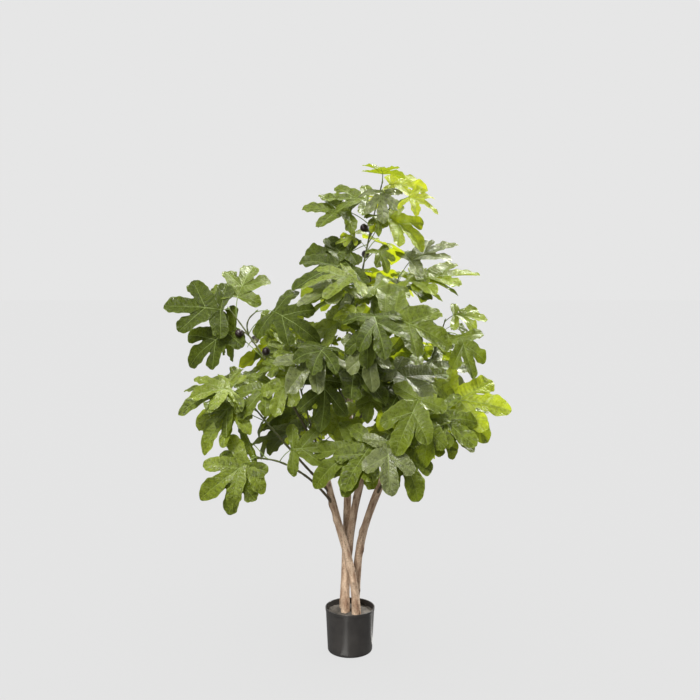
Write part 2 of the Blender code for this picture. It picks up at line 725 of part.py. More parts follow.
def fuse(stem, parts):
    """Joins a collection of parts to the stem by one union, and removes them."""
    union = stem.modifiers.new("union", "BOOLEAN")
    union.operation = "UNION"
    union.solver = "EXACT"
    union.operand_type = "COLLECTION"
    union.collection = parts
    apply_modifiers(stem)
    for piece in list(parts.objects):
        bpy.data.objects.remove(piece)
    bpy.data.collections.remove(parts)


def build_mass(name, routes, leaves, figs, finish):
    """The mass of one spray: its twigs, stalks, leaves and figs, fused into one solid."""
    _, twig, side = routes
    radii = np.linspace(BOUGH_END_RADIUS, TWIG_END_RADIUS, len(twig))
    start = twig.copy()
    start[0] = start[0] + unit(start[1] - start[0]) * CLEARANCE
    stem = limb_object("leaves_" + name, start, radii, TWIG_SIDES_RESOLUTION, finish)
    parts = bpy.data.collections.new(name)
    bpy.context.scene.collection.children.link(parts)
    side_radii = np.linspace(SIDE_TWIG_ROOT_RADIUS, TWIG_END_RADIUS, len(side))
    limb_object("side_twig", side, side_radii, TWIG_SIDES_RESOLUTION, finish, parts)
    for leaf in leaves:
        new_object("stalk", stalk_mesh(leaf), finish, parts)
        new_object("blade", blade_mesh(leaf), finish, parts)
    for fig in figs:
        new_object("fig", fig_mesh(fig), finish, parts)
    fuse(stem, parts)
    return stem


def main():
    """Builds the whole plant."""
    clear_scene()
    pole_lines, routes, leaves, figs = plan_tree()
    plastic = material("pot_plastic", (0.020, 0.019, 0.020), 0.35)
    cast = material("cast_filling", (0.060, 0.052, 0.045), 0.90)
    wood = material("pole_wood", (0.330, 0.215, 0.130), 0.75)
    twigs = material("bough_plastic", (0.085, 0.075, 0.030), 0.60)
    leaf_cloth = material("leaf_fabric", (0.080, 0.145, 0.025), 0.50)
    build_pot(plastic)
    build_filling(pole_lines, cast)
    build_poles(pole_lines, wood)
    for name in SPRAYS:
        build_bough(name, routes[name][0], pole_lines, twigs)
    for name in SPRAYS:
        build_mass(name, routes[name], leaves[name], figs[name], leaf_cloth)


if __name__ == "__main__":
    main()
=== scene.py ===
# %% [markdown]
# An artificial fig tree in a pot. The real one is four bare wooden poles cast into a small plastic pot,
# with wired plastic boughs plugged into the poles, and big lobed cloth leaves pushed onto their twigs.
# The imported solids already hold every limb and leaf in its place. This script grows the same plant again
# by the same rule and gives it what the plain solids lack: veins, quilting, bark, buds and real finishes.

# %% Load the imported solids
import math
import random
from collections import namedtuple

import bpy
import numpy as np
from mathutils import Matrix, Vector, noise
from mathutils.bvhtree import BVHTree


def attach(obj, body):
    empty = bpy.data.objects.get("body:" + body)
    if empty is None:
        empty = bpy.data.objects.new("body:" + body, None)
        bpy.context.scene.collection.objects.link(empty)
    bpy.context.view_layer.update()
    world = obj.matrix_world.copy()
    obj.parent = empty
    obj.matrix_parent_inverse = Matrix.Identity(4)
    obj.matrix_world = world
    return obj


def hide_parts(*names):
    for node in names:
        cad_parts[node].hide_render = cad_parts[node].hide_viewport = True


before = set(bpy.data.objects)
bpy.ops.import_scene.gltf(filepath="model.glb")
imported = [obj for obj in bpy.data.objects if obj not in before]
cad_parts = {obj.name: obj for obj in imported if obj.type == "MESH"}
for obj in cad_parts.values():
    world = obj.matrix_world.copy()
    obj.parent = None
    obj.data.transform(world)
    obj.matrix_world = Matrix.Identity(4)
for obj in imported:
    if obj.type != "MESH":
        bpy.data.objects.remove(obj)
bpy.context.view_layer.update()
scene = bpy.context.scene

# %% [markdown]
# The camera stands 2.7 m in front of the plant, a little below its top, and is tipped down by five
# degrees. A long lens could stand further back, but the crown would then look flatter than it does in
# the photograph, so both the distance and the lens were fitted to it.

# %% Camera
CAMERA_AT = (0.0, -2.733, 1.196)
CAMERA_TIPPED_DOWN = math.radians(5.25)
FOCAL_LENGTH_PX = 900.0
PHOTO_WIDTH_PX = 700.0

camera_data = bpy.data.cameras.new("camera")
camera_data.sensor_width = 36.0
camera_data.lens = camera_data.sensor_width * FOCAL_LENGTH_PX / PHOTO_WIDTH_PX
camera = bpy.data.objects.new("camera", camera_data)
camera.location = CAMERA_AT
camera.rotation_euler = (math.pi / 2 - CAMERA_TIPPED_DOWN, 0.0, 0.0)
scene.collection.objects.link(camera)
scene.camera = camera
print("lens:", round(camera_data.lens, 1), "mm")

# %% [markdown]
# The light is that of a photo studio. A pale tent lights the plant weakly from all sides and more from
# above. One broad lamp stands high behind the plant on the right and shines through the leaves, which makes
# cloth leaves glow yellow-green, and a weaker one stands high in front. A sun lamp with a wide disc does
# both, since it lights the whole plant evenly. Two upright strip lamps, one in front on the left and one at
# the right side, leave the soft upright lights on the pot and the poles. What the camera sees behind the
# plant is one even pale grey.

# %% Background and lamps
scene.view_settings.view_transform = "Standard"
BACKGROUND_GREY = 0.791
TENT_AT_HORIZON = 0.12
TENT_OVERHEAD = 1.00
LAMP_COLOUR = (1.0, 0.985, 0.94)
STRIP_SIZE = (0.30, 1.90)
STRIP_LOOKS_AT = (0.0, 0.0, 0.60)
WHITE = (1.0, 1.0, 1.0)


def node_in(tree, kind, **settings):
    """A new node of this kind in a node tree, with these settings."""
    made = tree.nodes.new(kind)
    for name, value in settings.items():
        setattr(made, name, value)
    return made


def feed(tree, socket, value):
    """Gives a socket its value, which is a number, a colour or the outcome of another node."""
    if isinstance(value, bpy.types.NodeSocket):
        tree.links.new(value, socket)
    else:
        socket.default_value = (*value, 1.0) if isinstance(value, tuple) else value


world = bpy.data.worlds.new("light_tent")
world.use_nodes = True
sky = world.node_tree
direction = node_in(sky, "ShaderNodeTexCoord")
parts = node_in(sky, "ShaderNodeSeparateXYZ")
brightness = node_in(sky, "ShaderNodeMapRange")
path = node_in(sky, "ShaderNodeLightPath")
seen = node_in(sky, "ShaderNodeMix", data_type="FLOAT")
for socket, value in (
        (parts.inputs[0], direction.outputs["Generated"]),
        (brightness.inputs["Value"], parts.outputs["Z"]),
        (brightness.inputs["To Min"], TENT_AT_HORIZON),
        (brightness.inputs["To Max"], TENT_OVERHEAD),
        (seen.inputs["A"], brightness.outputs[0]),
        (seen.inputs["B"], BACKGROUND_GREY),
        (seen.inputs["Factor"], path.outputs["Is Camera Ray"]),
        (sky.nodes["Background"].inputs["Strength"], seen.outputs[0]),
        (sky.nodes["Background"].inputs["Color"], WHITE)):
    feed(sky, socket, value)
scene.world = world


def new_lamp(name, kind, strength, stands_at, looks_at=(0.0, 0.0, 0.0)):
    """A lamp of this kind, turned from where it stands towards a point."""
    data = bpy.data.lights.new(name, kind)
    data.energy = strength
    data.color = LAMP_COLOUR
    lamp = bpy.data.objects.new(name, data)
    lamp.location = stands_at
    lamp.rotation_euler = (Vector(stands_at) - Vector(looks_at)).to_track_quat("Z", "Y").to_euler()
    scene.collection.objects.link(lamp)
    return lamp


def make_strip(lamp, size):
    """Turns an area lamp into a strip of this size that the camera doesn't see."""
    lamp.data.shape = "RECTANGLE"
    lamp.data.size, lamp.data.size_y = size
    lamp.visible_camera = False


lamps = []
for name, strength, disc_degrees, stands_at in (
        ("lamp_behind", 6.6, 10, (0.50, 0.55, 0.85)), ("lamp_front", 4.0, 18, (-0.30, -0.70, 0.95))):
    lamps.append(new_lamp(name, "SUN", strength, stands_at))
    lamps[-1].data.angle = math.radians(disc_degrees)
for name, strength, stands_at in (
        ("strip_front", 16.0, (-0.95, -2.40, 0.80)), ("strip_side", 26.0, (2.20, 0.90, 0.80))):
    lamps.append(new_lamp(name, "AREA", strength, stands_at, STRIP_LOOKS_AT))
    make_strip(lamps[-1], STRIP_SIZE)
print("lamps:", [lamp.name for lamp in lamps])

# %% [markdown]
# The floor is one large pale sheet, as pale as the background, so that the pot stands on the same paper
# that hangs behind it. It glows by itself towards the camera and less towards the plant, and the lamps
# leave it out by light linking, as a retoucher would take the shadow out of a catalogue picture.

# %% Floor
FLOOR_HALF_WIDTH = 30.0
FLOOR_WHITE = 0.10
FLOOR_GLOW = 0.708
FLOOR_GLOW_ON_PLANT = 0.18

floor_mesh = bpy.data.meshes.new("floor")
floor_mesh.from_pydata(
    [(x * FLOOR_HALF_WIDTH, y * FLOOR_HALF_WIDTH, 0.0) for x, y in ((-1, -1), (1, -1), (1, 1), (-1, 1))],
    [], [(0, 1, 2, 3)])
floor = bpy.data.objects.new("floor", floor_mesh)
scene.collection.objects.link(floor)
paper = bpy.data.materials.new("floor_paper")
paper.use_nodes = True
paper_shader = paper.node_tree.nodes["Principled BSDF"]
path = node_in(paper.node_tree, "ShaderNodeLightPath")
glow = node_in(paper.node_tree, "ShaderNodeMix", data_type="FLOAT")
for socket, value in (
        (glow.inputs["A"], FLOOR_GLOW_ON_PLANT),
        (glow.inputs["B"], FLOOR_GLOW),
        (glow.inputs["Factor"], path.outputs["Is Camera Ray"]),
        (paper_shader.inputs["Base Color"], (FLOOR_WHITE, FLOOR_WHITE, FLOOR_WHITE)),
        (paper_shader.inputs["Roughness"], 1.0),
        (paper_shader.inputs["Specular IOR Level"], 0.0),
        (paper_shader.inputs["Emission Color"], WHITE),
        (paper_shader.inputs["Emission Strength"], glow.outputs[0])):
    feed(paper.node_tree, socket, value)
floor_mesh.materials.append(paper)

unlit = bpy.data.collections.new("left_out_by_lamps")
unlit.objects.link(floor)
unlit.collection_objects[0].light_linking.link_state = "EXCLUDE"
for lamp in lamps:
    lamp.light_linking.receiver_collection = unlit
print("floor:", 2 * FLOOR_HALF_WIDTH, "m wide")

# %% [markdown]
# The sizes and the table that the solids were grown from, repeated here. A pole is its radius at the foot
# and at the top, and the points that it is bent through above the filling. A spray is one bough and the
# mass of leaves at its end: where it leaves its pole, how it bends, which way its leaves face, and the
# heading and droop of each leaf. With the same numbers and the same seeded rule, each leaf of this script
# lies where its solid lies, apart from the few that the cell on growing all leaves moves or makes smaller.

# %% Sizes shared with the solids
CLEARANCE = 0.0004

POT_HEIGHT = 0.139
POT_RIM_RADIUS = 0.0758
POT_FOOT_RADIUS = 0.0696
POT_WALL = 0.0024
POT_LIP_HEIGHT = 0.009
POT_LIP_STANDOUT = 0.0012
POT_FOOT_ROUNDING = 0.006
FILL_BELOW_RIM = 0.017
POLE_DEPTH_IN_FILL = 0.030

POLE_FLARE = 1.10
POLE_FLARE_ENDS = 1 / 6
BOUGH_ROOT_RADIUS = 0.0042
BOUGH_END_RADIUS = 0.0030
TWIG_END_RADIUS = 0.0018
SIDE_TWIG_ROOT_RADIUS = 0.0024
BOUGH_STEPS = 6
TWIG_STEPS = 3
SIDE_TWIG_STEPS = 3
SIDE_TWIG_SHARE = 0.45
SIDE_TWIG_RISE = 15
# How much of the main twig's way, and of its own, the side twig takes at its bend and at its end.
SIDE_TWIG_BEND = (0.8, 0.5)
SIDE_TWIG_END = (0.7, 0.8)

STALK_RADIUS = 0.0013
STALK_LENGTH = 0.062
STALK_AT_FOOT = 1.15
STALK_AT_TIP = 0.60
STALK_SPREAD = 0.15
# A stalk leaves partly along its twig and partly outward, rising before its blade droops.
STALK_ALONG_TWIG = 0.55
STALK_OUTWARD = 0.85
STALK_RISE = 12
STALK_OF_DROOP = 0.3
LEAF_LENGTH = 0.155
LEAF_SPREAD = 0.10
FIRST_LEAF_AT = 0.12
LEAF_SAG = 0.20
LEAF_FOLD = 0.10

# The space that each piece keeps to itself, a little larger than the piece.
LEAF_GUARD_THICKNESS = 0.005
LEAF_GUARD_GROWTH = 1.02
STALK_GUARD_RADIUS = 0.0024
STALK_GUARD_STARTS = 0.012
STALK_GUARD_ENDS = 0.004
GUARD_SIDES, POLE_GUARD_SIDES = 6, 8
POLE_GUARD = 0.004
BOUGH_GUARD = 0.003
TWIG_GUARD = 0.002

# Each try to place a leaf turns it further from its heading and makes it smaller, and takes the next of
# a few places down the twig, of a few droops about the one asked for, and of a few longer stalks.
TRIES = 48
TURN_STEP = 4
SHRINK_STEP = 0.006
SLIDES = 3
SLIDE_STEP = 0.07
LOWEST_SHARE = 0.05
DROOPS = 5
DROOP_STEP = 6
STALKS = 4
STALK_STEP = 0.14

FIG_LENGTH = 0.034
FIG_STALK = 0.010
FIG_SHARES = (0.10, 0.32, 0.55)
FIG_FIRST_TURN = 40
FIG_TURN = 137.5
FIG_RISE = 10
FIG_ALONG_TWIG = 0.35
FIG_GUARD_SHARES = (0, 0.40, 0.80, 1.05)
FIG_GUARD_RADII = (0.0040, 0.01375, 0.01375, 0.0060)
FIG_GUARD_STARTS = 0.008

# %% Poles
Pole = namedtuple("Pole", "foot_radius top_radius route")
POLES = {
    "trunk_left": Pole(0.0135, 0.0100, (
        (0.020, -0.024, 0.000), (0.012, -0.030, 0.100), (-0.010, -0.034, 0.200),
        (-0.038, -0.032, 0.300), (-0.064, -0.026, 0.400), (-0.086, -0.018, 0.490),
    )),
    "trunk_middle": Pole(0.0140, 0.0105, (
        (-0.014, -0.008, 0.000), (-0.014, -0.006, 0.100), (-0.004, -0.004, 0.200),
        (0.006, -0.004, 0.280), (0.024, -0.014, 0.380), (0.048, -0.030, 0.480),
    )),
    "trunk_centre": Pole(0.0140, 0.0080, (
        (-0.018, 0.028, 0.000), (-0.014, 0.028, 0.150), (-0.009, 0.024, 0.300),
        (-0.006, 0.018, 0.450), (-0.002, 0.010, 0.600), (0.002, 0.006, 0.790),
    )),
    "trunk_right": Pole(0.0125, 0.0115, (
        (0.018, 0.020, 0.000), (0.022, 0.016, 0.120), (0.034, 0.010, 0.220),
        (0.062, 0.004, 0.320), (0.096, 0.000, 0.410), (0.118, -0.004, 0.470),
    )),
}
print("poles:", len(POLES))

# %% Sprays
Spray = namedtuple("Spray", "pole leaves_at through tip begins face lean sizes figs leaves")
SPRAYS = {
    "top": Spray(
        "trunk_centre", 0.780, (0.036, 0.000, 1.175), (0.096, -0.010, 1.446), 0.40,
        270, 42, (1.12, 0.70), 3,
        ((215, 25), (325, 30), (310, 60), (60, 20), (183, 12), (330, 35), (184, 2), (275, 50), (183, 4),
         (285, 60), (350, 14), (262, -6))),
    "left_high": Spray(
        "trunk_left", 0.476, (-0.210, -0.050, 0.850), (-0.356, -0.070, 1.072), 0.64,
        270, 64, (0.95, 1.22), 3,
        ((188, 40), (330, 35), (183, 20), (350, 20), (70, -35), (182, 4))),
    "left_inner": Spray(
        "trunk_left", 0.442, (-0.130, -0.070, 0.770), (-0.165, -0.120, 0.930), 0.50,
        270, 42, (1.05, 1.00), 0,
        ((195, 40), (340, 50), (10, 15), (240, 50), (183, 12), (165, -20), (150, -35))),
    "left_mid": Spray(
        "trunk_left", 0.386, (-0.205, -0.100, 0.690), (-0.322, -0.120, 0.838), 0.62,
        270, 40, (0.90, 0.95), 0,
        ((200, 30), (90, -20), (230, 50), (184, 16), (160, 0), (180, -8))),
    "left_low": Spray(
        "trunk_left", 0.350, (-0.160, -0.110, 0.600), (-0.280, -0.170, 0.645), 0.66,
        270, 66, (0.90, 1.02), 0,
        ((5, 0), (205, 30), (195, 38), (150, -30), (235, 82))),
    "low_left": Spray(
        "trunk_left", 0.416, (-0.080, -0.080, 0.640), (-0.090, -0.150, 0.680), 0.40,
        270, 50, (0.95, 1.00), 0,
        ((184, 8), (235, 40), (170, -5), (110, -60), (200, 15))),
    "centre_left": Spray(
        "trunk_centre", 0.640, (-0.040, -0.100, 0.860), (-0.060, -0.170, 0.960), 0.45,
        270, 45, (1.05, 1.05), 0,
        ((260, 70), (190, 25), (330, 45), (205, 35), (175, 5), (240, 60))),
    "upper_left": Spray(
        "trunk_centre", 0.718, (-0.005, -0.070, 1.040), (0.034, -0.120, 1.135), 0.50,
        270, 38, (0.90, 0.95), 0,
        ((205, 20), (340, 30), (212, 5), (250, 50), (140, -5), (200, -12))),
    "centre_front": Spray(
        "trunk_centre", 0.695, (0.030, -0.120, 0.960), (0.060, -0.200, 1.060), 0.45,
        270, 50, (1.10, 1.10), 1,
        ((215, 55), (345, 30), (250, 65), (300, 60), (320, 30), (270, 60))),
    "centre_right": Spray(
        "trunk_centre", 0.580, (0.070, -0.070, 0.800), (0.110, -0.130, 0.900), 0.45,
        270, 42, (1.00, 1.00), 0,
        ((250, 55), (350, 30), (300, 50), (10, 0), (330, 40), (190, 20))),
    "upper_right": Spray(
        "trunk_centre", 0.752, (0.085, 0.000, 1.010), (0.148, 0.010, 1.165), 0.50,
        270, 26, (1.10, 1.05), 0,
        ((335, 30), (357, 0), (200, 15), (60, 10), (352, 10), (5, -16))),
    "right_high": Spray(
        "trunk_right", 0.460, (0.210, 0.030, 0.800), (0.290, 0.020, 1.030), 0.62,
        270, 34, (1.00, 0.84), 1,
        ((345, 45), (270, 70), (5, 25), (200, 40), (180, 5), (350, 12))),
    "right_mid": Spray(
        "trunk_right", 0.420, (0.190, -0.040, 0.680), (0.256, -0.090, 0.792), 0.56,
        270, 50, (0.95, 1.10), 0,
        ((350, 40), (150, -30), (20, 10), (200, 30), (340, 40), (345, 14))),
    "right_low": Spray(
        "trunk_right", 0.372, (0.160, -0.110, 0.660), (0.240, -0.170, 0.790), 0.56,
        270, 55, (0.95, 1.05), 0,
        ((355, 10), (230, 60), (350, 35), (200, 50), (345, 30))),
    "front_low": Spray(
        "trunk_middle", 0.455, (0.070, -0.120, 0.640), (0.100, -0.200, 0.700), 0.40,
        270, 50, (0.90, 1.15), 0,
        ((235, 50), (320, 70), (190, 25), (280, 65), (205, 40), (340, 40))),
    "back_high": Spray(
        "trunk_centre", 0.668, (0.030, 0.140, 0.980), (0.010, 0.220, 1.160), 0.50,
        90, 35, (1.00, 1.00), 0,
        ((60, 20), (120, 25), (180, 5), (90, 45), (10, 10), (150, 10), (80, 20))),
    "back_left": Spray(
        "trunk_centre", 0.610, (-0.130, 0.150, 0.860), (-0.230, 0.210, 1.000), 0.50,
        130, 35, (1.00, 1.00), 1,
        ((200, 20), (100, 30), (150, 10), (240, 20), (180, 5), (120, 30), (60, 20))),
    "back_right": Spray(
        "trunk_right", 0.400, (0.180, 0.150, 0.760), (0.230, 0.230, 0.940), 0.50,
        50, 35, (1.00, 1.00), 1,
        ((340, 20), (60, 35), (20, 10), (100, 30), (0, 5), (45, 20), (140, 15))),
    "back_low_left": Spray(
        "trunk_centre", 0.480, (-0.100, 0.160, 0.640), (-0.180, 0.240, 0.740), 0.45,
        130, 45, (1.00, 1.00), 0,
        ((190, 20), (110, 50), (160, 20), (80, 40), (140, 30), (220, 15))),
    "back_low_right": Spray(
        "trunk_right", 0.342, (0.130, 0.140, 0.580), (0.180, 0.230, 0.700), 0.45,
        50, 45, (1.00, 1.00), 0,
        ((350, 20), (70, 50), (30, 20), (110, 40), (10, 15), (60, 35))),
    "back_centre": Spray(
        "trunk_centre", 0.545, (0.020, 0.180, 0.760), (0.020, 0.280, 0.880), 0.45,
        90, 40, (1.05, 1.05), 0,
        ((60, 30), (130, 20), (90, 45), (30, 15), (150, 10), (100, 20))),
}
print("sprays:", len(SPRAYS))

# %% Leaf forms
# A leaf form is its lobes on one side, from the tip to the stalk: the lobe's direction from the midrib, its
# length and its half width as shares of the leaf's length. The middle lobes fork off the midrib at a share
# of it, and the others start at the stalk. A bay is where two lobes part, as an angle and a distance, the
# first from the fork and the second from the stalk.
LeafForm = namedtuple("LeafForm", "lobes bays fork")
LEAF_FORMS = (
    LeafForm(((0, 1.00, 0.185), (54, 0.60, 0.165), (98, 0.54, 0.150)), ((33, 0.286), (58.6, 0.282)), 0.26),
    LeafForm(((0, 1.00, 0.165), (44, 0.70, 0.150), (88, 0.62, 0.130)), ((25.7, 0.300), (53.4, 0.267)), 0.18),
    LeafForm(((0, 1.00, 0.215), (56, 0.60, 0.195), (108, 0.46, 0.145)), ((29.9, 0.366), (66.3, 0.286)), 0.22),
)
LEAF_FORM_DRAW = (0, 0, 1, 1, 2)
LOBE_SHOULDER = 0.70
LOBE_BLUNT = (0.97, 0.50)
STALK_NOTCH = 0.05
LEAF_HUB = 0.05

# %% [markdown]
# The growing rule. A bough leaves its pole and bends once; its last part is the twig that the leaves grow
# from. Each leaf gets a place on the twig, a stalk that rises out of it, and a blade that points along
# its heading. Before a leaf is kept, its coarse shape is tested against everything placed so far. If it
# touches, it is turned, shortened or slid a little, up to 48 times, and then left out. The random draws
# come in the same order as in the source of the solids, so the outcome is the same plant.

# %% Directions and routes


def unit(vector):
    """The vector at length one."""
    vector = np.asarray(vector, float)
    return vector / np.linalg.norm(vector)


def compass(heading, droop=0.0):
    """The direction with this heading on the compass, this far below level."""
    across = math.cos(math.radians(droop))
    return np.array([
        math.cos(math.radians(heading)) * across,
        math.sin(math.radians(heading)) * across,
        -math.sin(math.radians(droop)),
    ])


def smooth_route(points, steps):
    """Points along the smooth curve that passes through all of these, with so many steps between two."""
    points = [np.asarray(p, float) for p in points]
    padded = [2 * points[0] - points[1], *points, 2 * points[-1] - points[-2]]
    route = []
    for a, b, c, d in zip(padded, padded[1:], padded[2:], padded[3:]):
        for t in np.arange(steps) / steps:
            route.append(0.5 * (
                2 * b + (c - a) * t + (2 * a - 5 * b + 4 * c - d) * t**2 + (3 * b - a - 3 * c + d) * t**3
            ))
    return np.array([*route, points[-1]])


def bent_route(start, through, end, shares):
    """Points at these shares of the one bend from start to end that passes through the middle point."""
    start, through, end = (np.asarray(p, float) for p in (start, through, end))
    pull = 2 * through - 0.5 * (start + end)
    t = np.asarray(shares, float)[:, None]
    return (1 - t) ** 2 * start + 2 * t * (1 - t) * pull + t**2 * end


def fill_top():
    """The height of the filling's upper face."""
    return POT_HEIGHT - FILL_BELOW_RIM


def pole_route(pole, steps=2):
    """The pole's centre line, from its foot sunk in the filling to its top."""
    on_fill = [np.array(p) + (0, 0, fill_top()) for p in pole.route]
    foot = on_fill[0] - (0, 0, POLE_DEPTH_IN_FILL)
    return smooth_route([foot, *on_fill], steps)


def at_height(route, height):
    """The point where a route first reaches this height."""
    above = int(np.argmax(route[:, 2] >= height))
    low, high = route[above - 1], route[above]
    return low + (high - low) * (height - low[2]) / (high[2] - low[2])


def on_route(route, share):
    """The point at a share of a route, and the way it runs there."""
    place = share * (len(route) - 1)
    k = min(int(place), len(route) - 2)
    return route[k] + (route[k + 1] - route[k]) * (place - k), unit(route[k + 1] - route[k])


# %% Coarse shapes for the tests
# A direction that no limb runs along, from which each tube gets its first sideways direction.
SKEW = (0.36, 0.48, 0.80)


def flat_point(angle, reach, starts_at=0.0):
    """A point of the flat leaf at an angle and a distance from a place on its midrib."""
    return starts_at + reach * math.cos(math.radians(angle)), reach * math.sin(math.radians(angle))


def beside_lobe(angle, along, aside, starts_at):
    """A point of the flat leaf beside the line of a lobe."""
    ahead, outward = flat_point(angle, along), flat_point(angle + 90, aside)
    return starts_at + ahead[0] + outward[0], ahead[1] + outward[1]


def leaf_outline(form):
    """The flat leaf's outline, as places along and beside its midrib, from the stalk round and back."""
    half = []
    for rank, (angle, length, width) in enumerate(form.lobes):
        last = rank == len(form.lobes) - 1
        starts_at = form.fork if rank == 1 else 0.0
        blunt = (LOBE_BLUNT[0] * length, LOBE_BLUNT[1] * width)
        shoulder = (LOBE_SHOULDER * length, width)
        if rank:
            half += [beside_lobe(angle, along, -aside, starts_at) for along, aside in (shoulder, blunt)]
        outer = (blunt,) if last else (blunt, shoulder)
        half += [beside_lobe(angle, along, aside, starts_at) for along, aside in outer]
        if not last:
            half.append(flat_point(*form.bays[rank], 0.0 if rank else form.fork))
    half.append((-STALK_NOTCH, 0.0))
    other = [(along, -aside) for along, aside in reversed(half[:-1])]
    return other + half


def leaf_surface(at, heading_way, up_way, length, form, thickness, growth=1.0):
    """The corners and faces of one blade: a thin lens round its outline, sagging towards its tips."""
    side_way = np.cross(up_way, heading_way)
    rim = []
    for along, aside in leaf_outline(form):
        lift = LEAF_FOLD * abs(aside) * growth - LEAF_SAG * math.hypot(along, aside) ** 2
        rim.append(at + length * (along * growth * heading_way + aside * growth * side_way + lift * up_way))
    count = len(rim)
    hub = at + heading_way * (LEAF_HUB * length)
    corners = [*rim, hub + up_way * thickness / 2, hub - up_way * thickness / 2]
    faces = []
    for k in range(count):
        after = (k + 1) % count
        faces += [(k, after, count), (after, k, count + 1)]
    return corners, faces


def tube_mesh(points, radii, sides=3):
    """Corners and faces of a closed tube of a few sides, for tests of what touches."""
    corners, faces = [], []
    for k, (point, radius) in enumerate(zip(points, radii)):
        way = unit(points[min(k + 1, len(points) - 1)] - points[max(k - 1, 0)])
        side = unit(np.cross(way, SKEW))
        over = np.cross(way, side)
        for s in range(sides):
            turn = 2 * math.pi * s / sides
            corners.append(point + radius * (math.cos(turn) * side + math.sin(turn) * over))
    for k in range(len(points) - 1):
        for s in range(sides):
            a, b = k * sides + s, k * sides + (s + 1) % sides
            faces.append((a, b, b + sides, a + sides))
    return corners, faces


def tree_of(shape):
    """A shape's corners and faces, ready to be tested against others."""
    corners, faces = shape
    return BVHTree.FromPolygons([Vector(c) for c in corners], faces)

# %% Where boughs, twigs, leaves and figs go
Leaf = namedtuple("Leaf", "root foot way up length form")
Fig = namedtuple("Fig", "root way")


def leaf_frame(root, twig_way, spray, heading, droop, stalk, length, form):
    """A leaf whose stalk leaves the twig at root and whose blade points along its heading and droop."""
    way = compass(heading, droop)
    outward = compass(heading, droop * STALK_OF_DROOP - STALK_RISE)
    rise = unit(STALK_ALONG_TWIG * twig_way + STALK_OUTWARD * outward)
    foot = root + rise * stalk
    lean = math.radians(spray.lean)
    wish = math.cos(lean) * np.array([0, 0, 1.0]) + math.sin(lean) * compass(spray.face)
    up = unit(wish - np.dot(wish, way) * way)
    return Leaf(root, foot, way, up, length, form)


def bough_start(spray, pole_lines):
    """Where the spray's bough leaves the centre line of its pole."""
    return at_height(pole_lines[spray.pole], fill_top() + spray.leaves_at)


def spray_routes(name, pole_lines):
    """The bough's route, and those of the spray's main twig and its side twig."""
    spray = SPRAYS[name]
    start = bough_start(spray, pole_lines)
    parts = np.linspace(0, spray.begins, BOUGH_STEPS)
    bough = bent_route(start, spray.through, spray.tip, parts)
    twig = bent_route(start, spray.through, spray.tip, np.linspace(spray.begins, 1, TWIG_STEPS + 1))
    way = unit(twig[1] - twig[0])
    fork = (twig[1] + twig[2]) / 2
    aside = compass(spray.leaves[1][0], -SIDE_TWIG_RISE)
    reach = SIDE_TWIG_SHARE * np.linalg.norm(twig[-1] - twig[0])
    bend, end = (unit(main * way + own * aside) for main, own in (SIDE_TWIG_BEND, SIDE_TWIG_END))
    shares = np.linspace(0, 1, SIDE_TWIG_STEPS + 1)
    side = bent_route(fork, fork + reach / 2 * bend, fork + reach * end, shares)
    return bough, twig, side


def leaf_sites(count):
    """Where each leaf grows: on the side twig or not, and at which share. The last is at the twig's tip."""
    sites = []
    for k in range(count):
        if k == 1:
            sites.append((True, 1.0))
        else:
            sites.append((False, FIRST_LEAF_AT + (1 - FIRST_LEAF_AT) * k / (count - 1)))
    return sites


def fig_guard(fig):
    """The space that a fig takes up, for tests of what touches."""
    points = [fig.root + fig.way * (FIG_GUARD_STARTS + FIG_LENGTH * share) for share in FIG_GUARD_SHARES]
    return tree_of(tube_mesh(np.array(points), FIG_GUARD_RADII, GUARD_SIDES))


def fig_places(spray, twig):
    """Sets the spray's figs along its twig, each on the first side of it that the others leave free."""
    figs = []
    taken = []
    for count in range(spray.figs):
        root, twig_way = on_route(twig, FIG_SHARES[count])
        for turn in range(TRIES):
            across = compass(spray.face + FIG_FIRST_TURN + FIG_TURN * (count + turn), -FIG_RISE)
            outward = across - np.dot(across, twig_way) * twig_way
            fig = Fig(root, unit(outward + FIG_ALONG_TWIG * twig_way))
            guard = fig_guard(fig)
            if not any(guard.overlap(other) for other in taken):
                taken.append(guard)
                figs.append(fig)
                break
    return figs

# %% The growing rule


def tried_leaf(attempt, spray, route, share, heading, droop, stalk, length, form):
    """The leaf of one try, each time in another place, at another angle and a little smaller."""
    swing = (attempt + 1) // 2 * (1 if attempt % 2 else -1)
    root, twig_way = on_route(route, max(share - SLIDE_STEP * (attempt % SLIDES), LOWEST_SHARE))
    return leaf_frame(
        root, twig_way, spray, heading + TURN_STEP * swing,
        droop + DROOP_STEP * (attempt % DROOPS - DROOPS // 2),
        stalk * (1 + STALK_STEP * (attempt % STALKS)), length * (1 - SHRINK_STEP * attempt), form)


def leaf_guards(leaf):
    """The spaces that a leaf's blade and its stalk take up, for tests of what touches."""
    blade = tree_of(leaf_surface(
        leaf.foot, leaf.way, leaf.up, leaf.length, leaf.form, LEAF_GUARD_THICKNESS, LEAF_GUARD_GROWTH))
    reach = unit(leaf.foot - leaf.root)
    ends = np.array([leaf.root + reach * STALK_GUARD_STARTS, leaf.foot - reach * STALK_GUARD_ENDS])
    return [blade, tree_of(tube_mesh(ends, np.full(2, STALK_GUARD_RADIUS)))]


